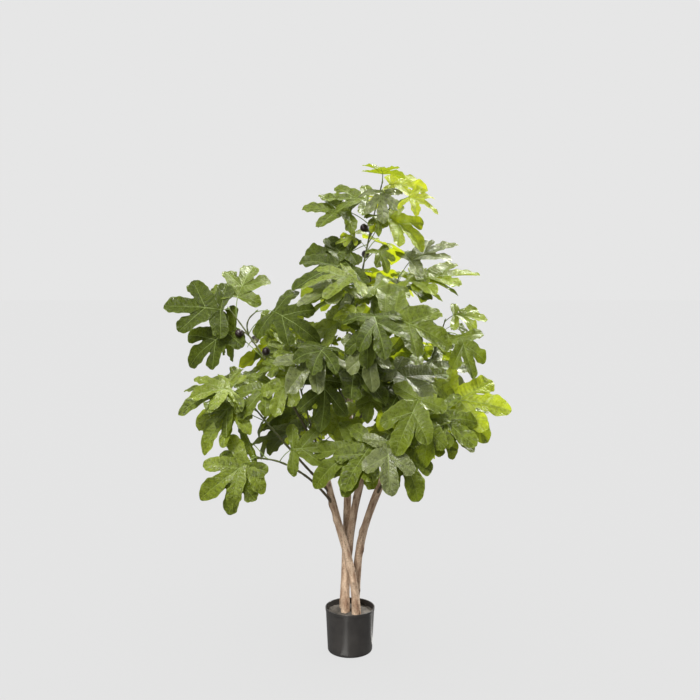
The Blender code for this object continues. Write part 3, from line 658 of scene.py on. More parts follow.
def limb_guards(pole_lines, routes, figs):
    """The spaces of all limbs and figs, which no leaf may enter."""
    guards = []
    for name, pole in POLES.items():
        line = pole_lines[name]
        guards.append(tree_of(tube_mesh(line, np.full(len(line), pole.foot_radius + POLE_GUARD), POLE_GUARD_SIDES)))
    for bough, twig, side in routes.values():
        bough_space, twig_space = BOUGH_ROOT_RADIUS + BOUGH_GUARD, BOUGH_END_RADIUS + TWIG_GUARD
        for line, radius in ((bough, bough_space), (twig, twig_space), (side, twig_space)):
            guards.append(tree_of(tube_mesh(line, np.full(len(line), radius), GUARD_SIDES)))
    for hung in figs.values():
        guards += [fig_guard(fig) for fig in hung]
    return guards


def grow_leaf(draw, spray, on_side, share, heading, droop, twigs, guards):
    """One leaf at its site, turned or slid until it is free, or None."""
    twig, side = twigs
    route = side if on_side else twig
    size = spray.sizes[0] + (spray.sizes[1] - spray.sizes[0]) * share
    length = LEAF_LENGTH * size * draw.uniform(1 - LEAF_SPREAD, 1 + LEAF_SPREAD)
    form = LEAF_FORMS[draw.choice(LEAF_FORM_DRAW)]
    stalk = STALK_LENGTH * (STALK_AT_FOOT + (STALK_AT_TIP - STALK_AT_FOOT) * share)
    stalk *= draw.uniform(1 - STALK_SPREAD, 1 + STALK_SPREAD)
    for attempt in range(TRIES):
        leaf = tried_leaf(attempt, spray, route, share, heading, droop, stalk, length, form)
        own = leaf_guards(leaf)
        if not any(guard.overlap(other) for guard in own for other in guards):
            guards += own
            return leaf
    return None


pole_lines = {name: pole_route(pole) for name, pole in POLES.items()}
routes = {name: spray_routes(name, pole_lines) for name in SPRAYS}
figs = {name: fig_places(spray, routes[name][1]) for name, spray in SPRAYS.items()}
guards = limb_guards(pole_lines, routes, figs)
leaves = {}
for name, spray in SPRAYS.items():
    draw = random.Random(name)
    sites = zip(leaf_sites(len(spray.leaves)), spray.leaves)
    leaves[name] = [
        grow_leaf(draw, spray, on_side, share, heading, droop, routes[name][1:], guards)
        for (on_side, share), (heading, droop) in sites]
placed = sum(leaf is not None for grown in leaves.values() for leaf in grown)
print("leaves placed:", placed, "figs:", sum(len(hung) for hung in figs.values()))

# %% [markdown]
# Now the rule is carried on to finer growth. Along the twigs grow a few short twiglets, each with one young
# leaf that has not reached its full size, wherever there is still room for one. The twigs at the back get
# more of them, and those on the left none, since sky shows between the big leaves there. They stay inside
# the reach of the big leaves, so the crown keeps its outline.

# %% Young leaves
YOUNG_SHARES = {"back": (0.30, 0.52, 0.70, 0.88), "left": (), "low": ()}
YOUNG_SHARES_ELSEWHERE = (0.40, 0.80)
YOUNG_LENGTHS = (0.050, 0.080)
YOUNG_STALKS = (0.030, 0.055)
YOUNG_DROOPS = (-30, 25)
YOUNG_TRIES = 14


def grow_young(name, spray, twig, guards):
    """The young leaves of one spray, on seeded sides of its twig."""
    draw = random.Random(name + " young")
    grown = []
    for share in YOUNG_SHARES.get(name.split("_")[0], YOUNG_SHARES_ELSEWHERE):
        root, twig_way = on_route(twig, share)
        for _ in range(YOUNG_TRIES):
            heading = draw.uniform(0, 360)
            leaf = leaf_frame(
                root, twig_way, spray, heading, draw.uniform(*YOUNG_DROOPS), draw.uniform(*YOUNG_STALKS),
                draw.uniform(*YOUNG_LENGTHS), draw.choice(LEAF_FORMS))
            own = leaf_guards(leaf)
            if not any(guard.overlap(other) for guard in own for other in guards):
                guards += own
                grown.append(leaf)
                break
    return grown


young = {name: grow_young(name, spray, routes[name][1], guards) for name, spray in SPRAYS.items()}
print("young leaves:", sum(len(grown) for grown in young.values()))

# %% [markdown]
# A plant has thousands of small shapes, and one Blender object for each would be slow. So shapes are
# collected as arrays of corners and faces in a batch, and the batch becomes one joined mesh. Each corner
# carries marks for the materials to read, such as how far it is from a vein or how far along a twig.

# %% Batches of shapes


class Batch:
    """Many small shapes that will be one joined mesh."""

    def __init__(self):
        self.corners, self.faces, self.slots, self.marks, self.tones = [], [], [], [], []
        self.count = 0

    def add(self, corners, faces, marks, tone=0.5, slot=0):
        """Takes in a shape: its corners, its triangles, a mark at each corner, its tone and its finish."""
        self.corners.append(np.asarray(corners, np.float32))
        self.faces.append(np.asarray(faces, np.int32) + self.count)
        self.slots.append(np.full(len(faces), slot, np.int32))
        self.marks.append(np.asarray(marks, np.float32))
        self.tones.append(np.full(len(corners), tone, np.float32))
        self.count += len(corners)


def joined_piece(name, batch, finishes, replaced=()):
    """The batch as one smooth mesh piece of the plant that stands for these solids."""
    corners, faces = np.concatenate(batch.corners), np.concatenate(batch.faces)
    mesh = bpy.data.meshes.new(name)
    mesh.vertices.add(len(corners))
    mesh.vertices.foreach_set("co", corners.ravel())
    mesh.loops.add(faces.size)
    mesh.loops.foreach_set("vertex_index", faces.ravel())
    mesh.polygons.add(len(faces))
    mesh.polygons.foreach_set("loop_start", np.arange(0, faces.size, 3, dtype=np.int32))
    mesh.polygons.foreach_set("material_index", np.concatenate(batch.slots))
    mesh.update(calc_edges=True)
    mesh.shade_smooth()
    marks = mesh.attributes.new("marks", "FLOAT_VECTOR", "POINT")
    marks.data.foreach_set("vector", np.concatenate(batch.marks).ravel())
    tones = mesh.attributes.new("tone", "FLOAT", "POINT")
    tones.data.foreach_set("value", np.concatenate(batch.tones))
    for finish in finishes:
        mesh.materials.append(finish)
    piece = bpy.data.objects.new(name, mesh)
    scene.collection.objects.link(piece)
    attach(piece, "root")
    if replaced:
        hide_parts(*replaced)
    return piece


def triangles_of(quads):
    """Four-sided faces, each split into two triangles."""
    quads = np.asarray(quads)
    return np.concatenate([quads[:, (0, 1, 2)], quads[:, (0, 2, 3)]])


# %% [markdown]
# Tubes make the poles, boughs, twigs, stalks and leaf ribs. Blender's curve bevel could do it, but here
# each ring of corners can be swelled, ridged or marked by itself, so the rings are laid out in code. The
# sideways direction is carried along the tube without twisting.

# %% Tubes


def carried_sides(line):
    """For each point of a line, two directions square to it that don't twist along the way."""
    ways = np.gradient(line, axis=0)
    ways /= np.linalg.norm(ways, axis=1)[:, None]
    side = unit(np.cross(ways[0], SKEW))
    sides = []
    for way in ways:
        side = unit(side - np.dot(side, way) * way)
        sides.append(side)
    sides = np.array(sides)
    return sides, np.cross(ways, sides)


def ring_corners(rings, sides):
    """The number of each corner of all rings but the last, and that of the next corner on its ring."""
    ring = np.arange(sides)[None, :]
    begins = np.arange(rings - 1)[:, None] * sides
    return begins + ring, begins + (ring + 1) % sides


def add_tube(batch, line, radii, sides, tone=0.5, slot=0, starts_at=0.0, relief=None):
    """A closed round tube along a line. Its marks are the place round it and along it, in metres."""
    line, radii = np.asarray(line, float), np.asarray(radii, float)
    side, over = carried_sides(line)
    turns = np.arange(sides) * 2 * math.pi / sides
    along = starts_at + np.concatenate([[0], np.cumsum(np.linalg.norm(np.diff(line, axis=0), axis=1))])
    ring = np.repeat(radii[:, None], sides, axis=1)
    if relief is not None:
        ring = ring + relief(along, turns)
    out = np.cos(turns)[None, :, None] * side[:, None, :] + np.sin(turns)[None, :, None] * over[:, None, :]
    corners = (line[:, None, :] + out * ring[:, :, None]).reshape(-1, 3)
    middle = float(np.mean(radii))
    marks = np.broadcast_arrays(
        np.cos(turns)[None, :] * middle, np.sin(turns)[None, :] * middle, along[:, None])
    marks = np.stack(marks, axis=2).reshape(-1, 3)
    here, beside = ring_corners(len(line), sides)
    quads = np.stack([here, beside, beside + sides, here + sides], axis=2).reshape(-1, 4)
    rim = np.arange(sides)
    start, end = len(corners), len(corners) + 1
    last = (len(line) - 1) * sides
    caps = np.concatenate([
        np.stack([np.full(sides, start), (rim + 1) % sides, rim], axis=1),
        np.stack([np.full(sides, end), last + rim, last + (rim + 1) % sides], axis=1)])
    corners = np.concatenate([corners, line[:1], line[-1:]])
    marks = np.concatenate([marks, [(0, 0, along[0])], [(0, 0, along[-1])]])
    batch.add(corners, np.concatenate([triangles_of(quads), caps]), marks, tone, slot)


def tones_along(values, sides):
    """A tone for each corner of a tube, from one value for each of its rings."""
    return np.concatenate([np.repeat(values, sides), values[:1], values[-1:]]).astype(np.float32)


# %% [markdown]
# Finishes. All of them need the same two things: broad blotches that make the colour uneven, and fine
# grain that breaks up the gloss. Both come from one node group, placed in each material with its own
# sizes. It reads places in metres, so a speck has its true size on every piece.

# %% The uneven group


def new_group(name, sockets_in, sockets_out):
    """A node group with these inputs, as (name, kind, value), and these outputs."""
    tree = bpy.data.node_groups.new(name, "ShaderNodeTree")
    for label, kind, value in sockets_in:
        made = tree.interface.new_socket(label, in_out="INPUT", socket_type=kind)
        if value is not None:
            made.default_value = value
    for label, kind in sockets_out:
        tree.interface.new_socket(label, in_out="OUTPUT", socket_type=kind)
    return tree, node_in(tree, "NodeGroupInput"), node_in(tree, "NodeGroupOutput")


NUMBER, VECTOR = "NodeSocketFloat", "NodeSocketVector"
BLOTCH_DETAIL, BLOTCH_ROUGHNESS, GRAIN_DETAIL = 4.0, 0.6, 3.0

uneven, given, result = new_group(
    "uneven",
    (("Place", VECTOR, None), ("Blotches per metre", NUMBER, 20.0), ("Grains per metre", NUMBER, 600.0)),
    (("Blotch", NUMBER), ("Grain", NUMBER)))
blotch = node_in(uneven, "ShaderNodeTexNoise")
blotch.inputs["Detail"].default_value = BLOTCH_DETAIL
blotch.inputs["Roughness"].default_value = BLOTCH_ROUGHNESS
grain = node_in(uneven, "ShaderNodeTexNoise")
grain.inputs["Detail"].default_value = GRAIN_DETAIL
for texture, per_metre in ((blotch, "Blotches per metre"), (grain, "Grains per metre")):
    uneven.links.new(given.outputs["Place"], texture.inputs["Vector"])
    uneven.links.new(given.outputs[per_metre], texture.inputs["Scale"])
uneven.links.new(blotch.outputs["Fac"], result.inputs["Blotch"])
uneven.links.new(grain.outputs["Fac"], result.inputs["Grain"])
print("group:", uneven.name)

# %% [markdown]
# The veins of a fig leaf: one rib down each lobe, side veins that leave it like the bones of a herring,
# and a fine net between them. The leaf's mesh carries two marks at each corner, the distance from the rib
# and the number of the side vein, so the group only has to draw lines where the number is whole. A slow
# noise shifts the number a little, or the lines would be as regular as a comb. The outputs are a mask for
# the pale lines, which takes in the leaf's pale margin, and a height for the bump.

# %% The vein group
WANDERS_PER_METRE = 45.0
VEIN_WANDER = 0.60
SIDE_VEIN_STRENGTH = 0.52
NET_WIDTH, NET_STRENGTH = 0.13, 0.40
MARGIN_BEGINS, MARGIN_STRENGTH = 0.82, 0.85

veins, given, result = new_group(
    "vein_lines",
    (("Marks", VECTOR, None), ("Place", VECTOR, None), ("Rib width", NUMBER, 0.0022),
     ("Line width", NUMBER, 0.10), ("Net per metre", NUMBER, 150.0)),
    (("Lines", NUMBER), ("Height", NUMBER)))


def math_of(tree, operation, *values):
    """Nodes for a sum, a product or the like of values, each a number or a socket."""
    made = node_in(tree, "ShaderNodeMath", operation=operation)
    for socket, value in zip(made.inputs, values):
        feed(tree, socket, value)
    return made.outputs[0]


def smooth_mask(tree, value, at_low, at_high, low=0.0, high=1.0):
    """Nodes for a mask that goes smoothly from one strength to another between two values."""
    mask = node_in(tree, "ShaderNodeMapRange", interpolation_type="SMOOTHSTEP")
    for label, given_value in (
            ("Value", value), ("From Min", low), ("From Max", high), ("To Min", at_low), ("To Max", at_high)):
        feed(tree, mask.inputs[label], given_value)
    return mask.outputs[0]


split = node_in(veins, "ShaderNodeSeparateXYZ")
wander = node_in(veins, "ShaderNodeTexNoise")
net = node_in(veins, "ShaderNodeTexVoronoi", feature="DISTANCE_TO_EDGE")
feed(veins, split.inputs[0], given.outputs["Marks"])
feed(veins, wander.inputs["Vector"], given.outputs["Place"])
feed(veins, wander.inputs["Scale"], WANDERS_PER_METRE)
feed(veins, net.inputs["Vector"], given.outputs["Place"])
feed(veins, net.inputs["Scale"], given.outputs["Net per metre"])

shifted = math_of(veins, "MULTIPLY_ADD", wander.outputs["Fac"], VEIN_WANDER, split.outputs["Y"])
between = math_of(veins, "PINGPONG", math_of(veins, "SUBTRACT", shifted, VEIN_WANDER / 2), 0.5)
rib_mask = smooth_mask(veins, split.outputs["X"], 1.0, 0.0, high=given.outputs["Rib width"])
line_mask = smooth_mask(veins, between, SIDE_VEIN_STRENGTH, 0.0, high=given.outputs["Line width"])
net_mask = smooth_mask(veins, net.outputs["Distance"], NET_STRENGTH, 0.0, high=NET_WIDTH)
margin_mask = smooth_mask(veins, split.outputs["Z"], 0.0, MARGIN_STRENGTH, low=MARGIN_BEGINS)
drawn = math_of(veins, "MAXIMUM", math_of(veins, "MAXIMUM", rib_mask, line_mask), net_mask)
feed(veins, result.inputs["Lines"], math_of(veins, "MAXIMUM", drawn, margin_mask))
feed(veins, result.inputs["Height"], math_of(veins, "SUBTRACT", 1.0, drawn))
print("group:", veins.name)

# %% [markdown]
# The leaf finish. An artificial fig leaf is printed polyester cloth with a satin face: dark olive to fresh
# green, pale veins, and a paler dull back. Light comes through it, so a translucent shader is mixed with
# the glossy one. The leaves aren't all of one colour, so there are six tones, and every spray gets its own
# plain ones. The tones are partly the cloth's own colour and partly painted light: the darker ones are
# painted shade, the brighter ones painted light where the lamps fall on and through the leaves, and the
# greyish one a painted satin sheen.

# %% Leaf finishes
LeafTone = namedtuple("LeafTone", "face vein glow through satin roughness")
# Partly painted light: the darker tones paint shade, the brighter ones paint light, and the greyish face and veins
# of g paint a satin sheen.
LEAF_TONES = {
    "d": LeafTone((0.040, 0.056, 0.004), (0.13, 0.17, 0.030), (0.12, 0.16, 0.006), 0.16, 0.16, 0.36),
    "m": LeafTone((0.078, 0.106, 0.006), (0.22, 0.27, 0.045), (0.24, 0.31, 0.009), 0.24, 0.34, 0.32),
    "g": LeafTone((0.098, 0.118, 0.030), (0.25, 0.29, 0.110), (0.22, 0.27, 0.030), 0.18, 0.75, 0.34),
    "l": LeafTone((0.138, 0.178, 0.010), (0.30, 0.37, 0.060), (0.39, 0.48, 0.012), 0.32, 0.55, 0.31),
    "f": LeafTone((0.210, 0.265, 0.012), (0.34, 0.40, 0.050), (0.56, 0.65, 0.012), 0.42, 0.45, 0.36),
    "b": LeafTone((0.285, 0.340, 0.014), (0.36, 0.42, 0.040), (0.68, 0.72, 0.016), 0.50, 0.40, 0.38),
}
ROUGHNESS_SPREAD = 0.07
BACK_PALER = 0.40
BACK_COLOUR = (0.170, 0.205, 0.055)
# How dark and how light the blotches of a leaf are, and how light a leaf is that has none.
FACE_SHARES = (0.36, 1.62, 1.45)
VEINS_SHOW = 0.75
BLOTCHES_BETWEEN = (0.38, 0.60)
CLOTH_BLOTCHES, CLOTH_GRAINS = 110.0, 900.0
VEIN_DEPTH, COCKLE_DEPTH, WEAVE_DEPTH = 0.0012, 0.0008, 0.00012


def new_finish(name):
    """A material with its tree and its main shader."""
    made = bpy.data.materials.new(name)
    made.use_nodes = True
    tree = made.node_tree
    return made, tree, tree.nodes["Principled BSDF"]


def mixed_colours(tree, factor, first, second):
    """Nodes for a blend of two colours, each a colour or a socket."""
    mix = node_in(tree, "ShaderNodeMix", data_type="RGBA")
    for socket, value in ((mix.inputs[0], factor), (mix.inputs[6], first), (mix.inputs[7], second)):
        feed(tree, socket, value)
    return mix.outputs[2]


def ranged(tree, value, low, high, from_low=0.3, from_high=0.7):
    """Nodes that bring a value's middle range to new ends."""
    span = node_in(tree, "ShaderNodeMapRange")
    for label, given_value in (
            ("Value", value), ("From Min", from_low), ("From Max", from_high),
            ("To Min", low), ("To Max", high)):
        feed(tree, span.inputs[label], given_value)
    return span.outputs[0]


def marks_in(tree):
    """The three marks that each corner of a mesh carries."""
    return node_in(tree, "ShaderNodeAttribute", attribute_name="marks").outputs["Vector"]


def tone_in(tree):
    """The tone that each corner of a mesh carries."""
    return node_in(tree, "ShaderNodeAttribute", attribute_name="tone").outputs["Fac"]


def place_in(tree):
    """The place on the piece, in metres."""
    return node_in(tree, "ShaderNodeTexCoord").outputs["Object"]


def unevenness(tree, place, blotches, grains):
    """The uneven group placed in a material, with so many blotches and grains per metre."""
    node = node_in(tree, "ShaderNodeGroup", node_tree=uneven)
    for label, value in (("Place", place), ("Blotches per metre", blotches), ("Grains per metre", grains)):
        feed(tree, node.inputs[label], value)
    return node


def bumped(tree, shader, height, depth, below=None):
    """A bump of this depth in metres on the shader, on top of another one if given."""
    bump = node_in(tree, "ShaderNodeBump")
    bump.inputs["Distance"].default_value = depth
    tree.links.new(height, bump.inputs["Height"])
    if below is not None:
        tree.links.new(below, bump.inputs["Normal"])
    tree.links.new(bump.outputs[0], shader.inputs["Normal"])
    return bump.outputs[0]


def leaf_finish(name, tone):
    """The cloth of one tone."""
    finish, tree, shader = new_finish(name)
    place = place_in(tree)
    drawn = node_in(tree, "ShaderNodeGroup", node_tree=veins)
    feed(tree, drawn.inputs["Marks"], marks_in(tree))
    feed(tree, drawn.inputs["Place"], place)
    cloth = unevenness(tree, place, CLOTH_BLOTCHES, CLOTH_GRAINS)
    darker, lighter, plain = (tuple(share * v for v in tone.face) for share in FACE_SHARES)
    mottled = ranged(tree, cloth.outputs["Blotch"], 0.0, 1.0, *BLOTCHES_BETWEEN)
    blotchy = mixed_colours(tree, mottled, darker, lighter)
    toned = mixed_colours(tree, ranged(tree, tone_in(tree), 0.0, 0.5, 0.0, 1.0), blotchy, plain)
    strength = ranged(tree, drawn.outputs["Lines"], 0.0, VEINS_SHOW, 0.0, 1.0)
    veined = mixed_colours(tree, strength, toned, tone.vein)
    backing = node_in(tree, "ShaderNodeNewGeometry").outputs["Backfacing"]
    back = mixed_colours(tree, BACK_PALER, veined, BACK_COLOUR)
    feed(tree, shader.inputs["Base Color"], mixed_colours(tree, backing, veined, back))
    roughness = (tone.roughness - ROUGHNESS_SPREAD, tone.roughness + ROUGHNESS_SPREAD)
    feed(tree, shader.inputs["Roughness"], ranged(tree, cloth.outputs["Blotch"], *roughness))
    feed(tree, shader.inputs["Specular IOR Level"], tone.satin)
    relief = bumped(tree, shader, drawn.outputs["Height"], VEIN_DEPTH)
    relief = bumped(tree, shader, cloth.outputs["Blotch"], COCKLE_DEPTH, relief)
    bumped(tree, shader, cloth.outputs["Grain"], WEAVE_DEPTH, relief)
    through = node_in(tree, "ShaderNodeBsdfTranslucent")
    feed(tree, through.inputs["Color"], tone.glow)
    blend = node_in(tree, "ShaderNodeMixShader")
    for socket, value in zip(blend.inputs, (tone.through, shader.outputs[0], through.outputs[0])):
        feed(tree, socket, value)
    feed(tree, tree.nodes["Material Output"].inputs["Surface"], blend.outputs[0])
    return finish


leaf_finishes = {key: leaf_finish("leaf_cloth_" + key, tone) for key, tone in LEAF_TONES.items()}
print("leaf finishes:", len(leaf_finishes))

# %% [markdown]
# Green plastic. Stalks and ribs are thin moulded plastic over a wire, pale green and slightly glossy, and
# the boughs are the same plastic, painted brown near the pole and fading to olive green at the tip.

# %% Stalk, rib and bough finishes
STALK_GREEN = (0.235, 0.305, 0.085)
STALK_SHADE = (0.130, 0.190, 0.045)
BOUGH_BROWN = (0.100, 0.072, 0.038)
BOUGH_OLIVE = (0.125, 0.140, 0.042)
BOUGH_SHADE = (0.085, 0.100, 0.034)
RIB_GREEN = (0.250, 0.320, 0.080)
RIB_SHADE = (0.160, 0.220, 0.045)
GRAINS_PER_BLOTCH = 12
GLOSS_SPREAD = 0.08


def plastic_finish(name, light, dark, roughness, per_metre, depth):
    """Moulded plastic with soft blotches of two colours and a fine uneven skin."""
    finish, tree, shader = new_finish(name)
    skin = unevenness(tree, marks_in(tree), per_metre, per_metre * GRAINS_PER_BLOTCH)
    colour = mixed_colours(tree, ranged(tree, skin.outputs["Blotch"], 0.0, 1.0), dark, light)
    gloss = ranged(tree, skin.outputs["Grain"], roughness - GLOSS_SPREAD, roughness + GLOSS_SPREAD)
    feed(tree, shader.inputs["Base Color"], colour)
    feed(tree, shader.inputs["Roughness"], gloss)
    bumped(tree, shader, skin.outputs["Grain"], depth)
    return finish, tree, shader, colour


stalk_plastic = plastic_finish("stalk_plastic", STALK_GREEN, STALK_SHADE, 0.42, 60.0, 0.0002)[0]
rib_plastic = plastic_finish("rib_plastic", RIB_GREEN, RIB_SHADE, 0.45, 60.0, 0.0001)[0]
bough_paint, tree, shader, green = plastic_finish(
    "bough_plastic", BOUGH_OLIVE, BOUGH_SHADE, 0.55, 70.0, 0.0003)
feed(tree, shader.inputs["Base Color"], mixed_colours(tree, tone_in(tree), BOUGH_BROWN, green))
print("plastic finishes ready")

# %% [markdown]
# The blade of a leaf, first laid out flat. The outline is a smooth closed curve through a few points per
# lobe, blunt at the tip and round at the bottom of each bay. Each half of a lobe is then filled with rows
# that run forward from the rib to the margin, just as side veins do. Rows of neighbouring lobes meet on
# the line from the stalk to the bay between them, so the whole leaf is one sheet. A plain grid cut to the
# outline would be easier, but its faces would cross the veins and the quilting would look torn.

# %% Leaf layout
ROWS, BAY_ROWS, FORK_ROWS, COLUMNS, VEIN_EVERY = 44, 10, 4, 5, 4
# A flank runs from its bay to the lobe's tip. Each point is a share of that way, and how far the half
# width at the bay and the lobe's own half width count there.
INNER_FLANK = (
    (0.14, 0.95, 0.00), (0.36, 0.30, 0.70), (0.56, 0.00, 1.00), (0.77, 0.00, 0.84), (0.93, 0.00, 0.47))
OUTER_FLANK = (
    (0.26, 0.00, 0.60), (0.48, 0.00, 0.90), (0.68, 0.00, 1.00), (0.85, 0.00, 0.82), (0.96, 0.00, 0.44))
FLANK_SAMPLES = 10
RIB_AT_BAY = 0.40
ROW_ARCH = 0.10
MARGIN_WAVES = ((7, 13, 0.009), (20, 30, 0.005))
LOBE_SIDES = ((-1, 2), (-1, 1), (1, 0), (1, 1), (1, 2))
BAY_SIDES = ((-1, 1), (-1, 0), (1, 0), (1, 1))
LOBE_TURN = (-6, 6)
LOBE_SHARES, WIDTH_SHARES, BAY_SHARES = (0.88, 1.05), (0.88, 1.08), (0.92, 1.08)

Lobe = namedtuple("Lobe", "angle length width starts_at")


def polar(angle, reach, starts_at=0.0):
    """A flat point at this angle and distance from a place on the midrib."""
    return np.array([starts_at + math.cos(angle) * reach, math.sin(angle) * reach])


def jittered_lobes(form, draw):
    """The leaf's five lobes from right to left, each a little different."""
    lobes = []
    for side, rank in LOBE_SIDES:
        angle, length, width = form.lobes[rank]
        turned, longer = (draw.uniform(*LOBE_TURN), draw.uniform(*LOBE_SHARES)) if rank else (0.0, 1.0)
        lobes.append(Lobe(
            side * math.radians(angle + turned), length * longer, width * draw.uniform(*WIDTH_SHARES),
            form.fork if rank == 1 else 0.0))
    return lobes


def bay_points(form, draw):
    """The notch at the stalk, the four bays from right to left, and the notch again."""
    points = [np.array([-STALK_NOTCH, 0.0])]
    for side, rank in BAY_SIDES:
        angle, reach = form.bays[rank]
        points.append(polar(
            side * math.radians(angle), reach * draw.uniform(*BAY_SHARES), 0.0 if rank else form.fork))
    return [*points, points[0]]


def seen_from(lobe, point):
    """A flat point as its place along the lobe's line and its distance beside it."""
    ahead = polar(lobe.angle, 1.0)
    off = point - (lobe.starts_at, 0.0)
    return off @ ahead, abs(off[0] * ahead[1] - off[1] * ahead[0])


def flank_points(lobe, bay, side, outer):
    """The points of one flank from its bay towards the lobe's tip."""
    ahead, outward = polar(lobe.angle, 1.0), polar(lobe.angle + side * math.pi / 2, 1.0)
    begins, half_width = (0.0, 0.0) if outer else seen_from(lobe, bay)
    points = []
    for share, of_bay, of_lobe in OUTER_FLANK if outer else INNER_FLANK:
        along = begins + (lobe.length - begins) * share
        beside = of_bay * half_width + of_lobe * lobe.width
        points.append((lobe.starts_at, 0.0) + ahead * along + outward * beside)
    return points


def closed_curve(points, samples):
    """The smooth closed curve through all points, with so many samples from each to the next."""
    points = np.array(points)
    before, after, later = np.roll(points, 1, 0), np.roll(points, -1, 0), np.roll(points, -2, 0)
    t = (np.arange(samples) / samples)[None, :, None]
    a, b, c, d = (v[:, None, :] for v in (before, points, after, later))
    curve = 0.5 * (2 * b + (c - a) * t + (2 * a - 5 * b + 4 * c - d) * t**2 + (3 * b - a - 3 * c + d) * t**3)
    return curve.reshape(-1, 2)


def leaf_flanks(lobes, bays):
    """The margin of each lobe from its right bay to its tip, and from its left bay to its tip."""
    points = []
    for rank, lobe in enumerate(lobes):
        points.append(bays[rank])
        points += flank_points(lobe, bays[rank], -1, rank == 0)
        points.append(polar(lobe.angle, lobe.length, lobe.starts_at))
        points += flank_points(lobe, bays[rank + 1], 1, rank == len(lobes) - 1)[::-1]
    curve = closed_curve(points, FLANK_SAMPLES)
    curve = np.concatenate([curve, curve[:1]])
    span = (len(INNER_FLANK) + 1) * FLANK_SAMPLES
    starts = [2 * rank * span for rank in range(len(lobes))]
    return [(curve[at:at + span + 1], curve[at + span:at + 2 * span + 1][::-1]) for at in starts]


# %% Leaf grid
# Over so many rows beyond the bay the margin's ripples begin.
RIPPLE_ROWS = 3

LeafGrid = namedtuple("LeafGrid", "flat rank aside row edge faces ribs")


def evenly(points, count):
    """So many points at even distances along a polyline."""
    steps = np.concatenate([[0], np.cumsum(np.linalg.norm(np.diff(points, axis=0), axis=1))])
    wanted = np.linspace(0, steps[-1], count)
    return np.stack([np.interp(wanted, steps, points[:, axis]) for axis in (0, 1)], axis=1)


def through(corners, counts):
    """Points along a line with these corners, with so many steps from each corner to the next."""
    parts = [np.linspace(a, b, count, endpoint=False) for a, b, count in zip(corners, corners[1:], counts)]
    return np.concatenate([*parts, [corners[-1]]])


def off_line(points, corners):
    """How far each flat point is from a line with these corners."""
    away = []
    for start, end in zip(corners, corners[1:]):
        run = end - start
        share = np.clip((points - start) @ run / (run @ run), 0, 1)
        away.append(np.linalg.norm(points - start - share[:, None] * run, axis=1))
    return np.min(away, axis=0)


def half_lobe(lobe, rib, inner, flank, columns, draw):
    """The grid of flat points of half a lobe, from its rib to the line into its bay and its margin."""
    bay_rows = len(inner) - 1
    margin = evenly(flank, len(rib) - bay_rows)
    way = np.gradient(margin, axis=0)
    out = np.stack([way[:, 1], -way[:, 0]], axis=1) / np.linalg.norm(way, axis=1)[:, None]
    place = np.linspace(0, 1, len(margin))
    wave = sum(
        depth * np.sin(place * draw.uniform(fewest, most) + draw.uniform(0, 6))
        for fewest, most, depth in MARGIN_WAVES) * np.sin(math.pi * place) ** 0.5
    rim = np.concatenate([inner[:-1], margin + out * wave[:, None]])
    share = np.linspace(0, 1, columns + 1)
    arch = ROW_ARCH * np.sin(math.pi * share)[None, :] * np.linalg.norm(rim - rib, axis=1)[:, None]
    arch[:bay_rows] *= np.linspace(0, 1, bay_rows)[:, None]
    grid = rib[:, None, :] + (rim - rib)[:, None, :] * share[None, :, None]
    return (grid - arch[:, :, None] * polar(lobe.angle, 1.0)).reshape(-1, 2)


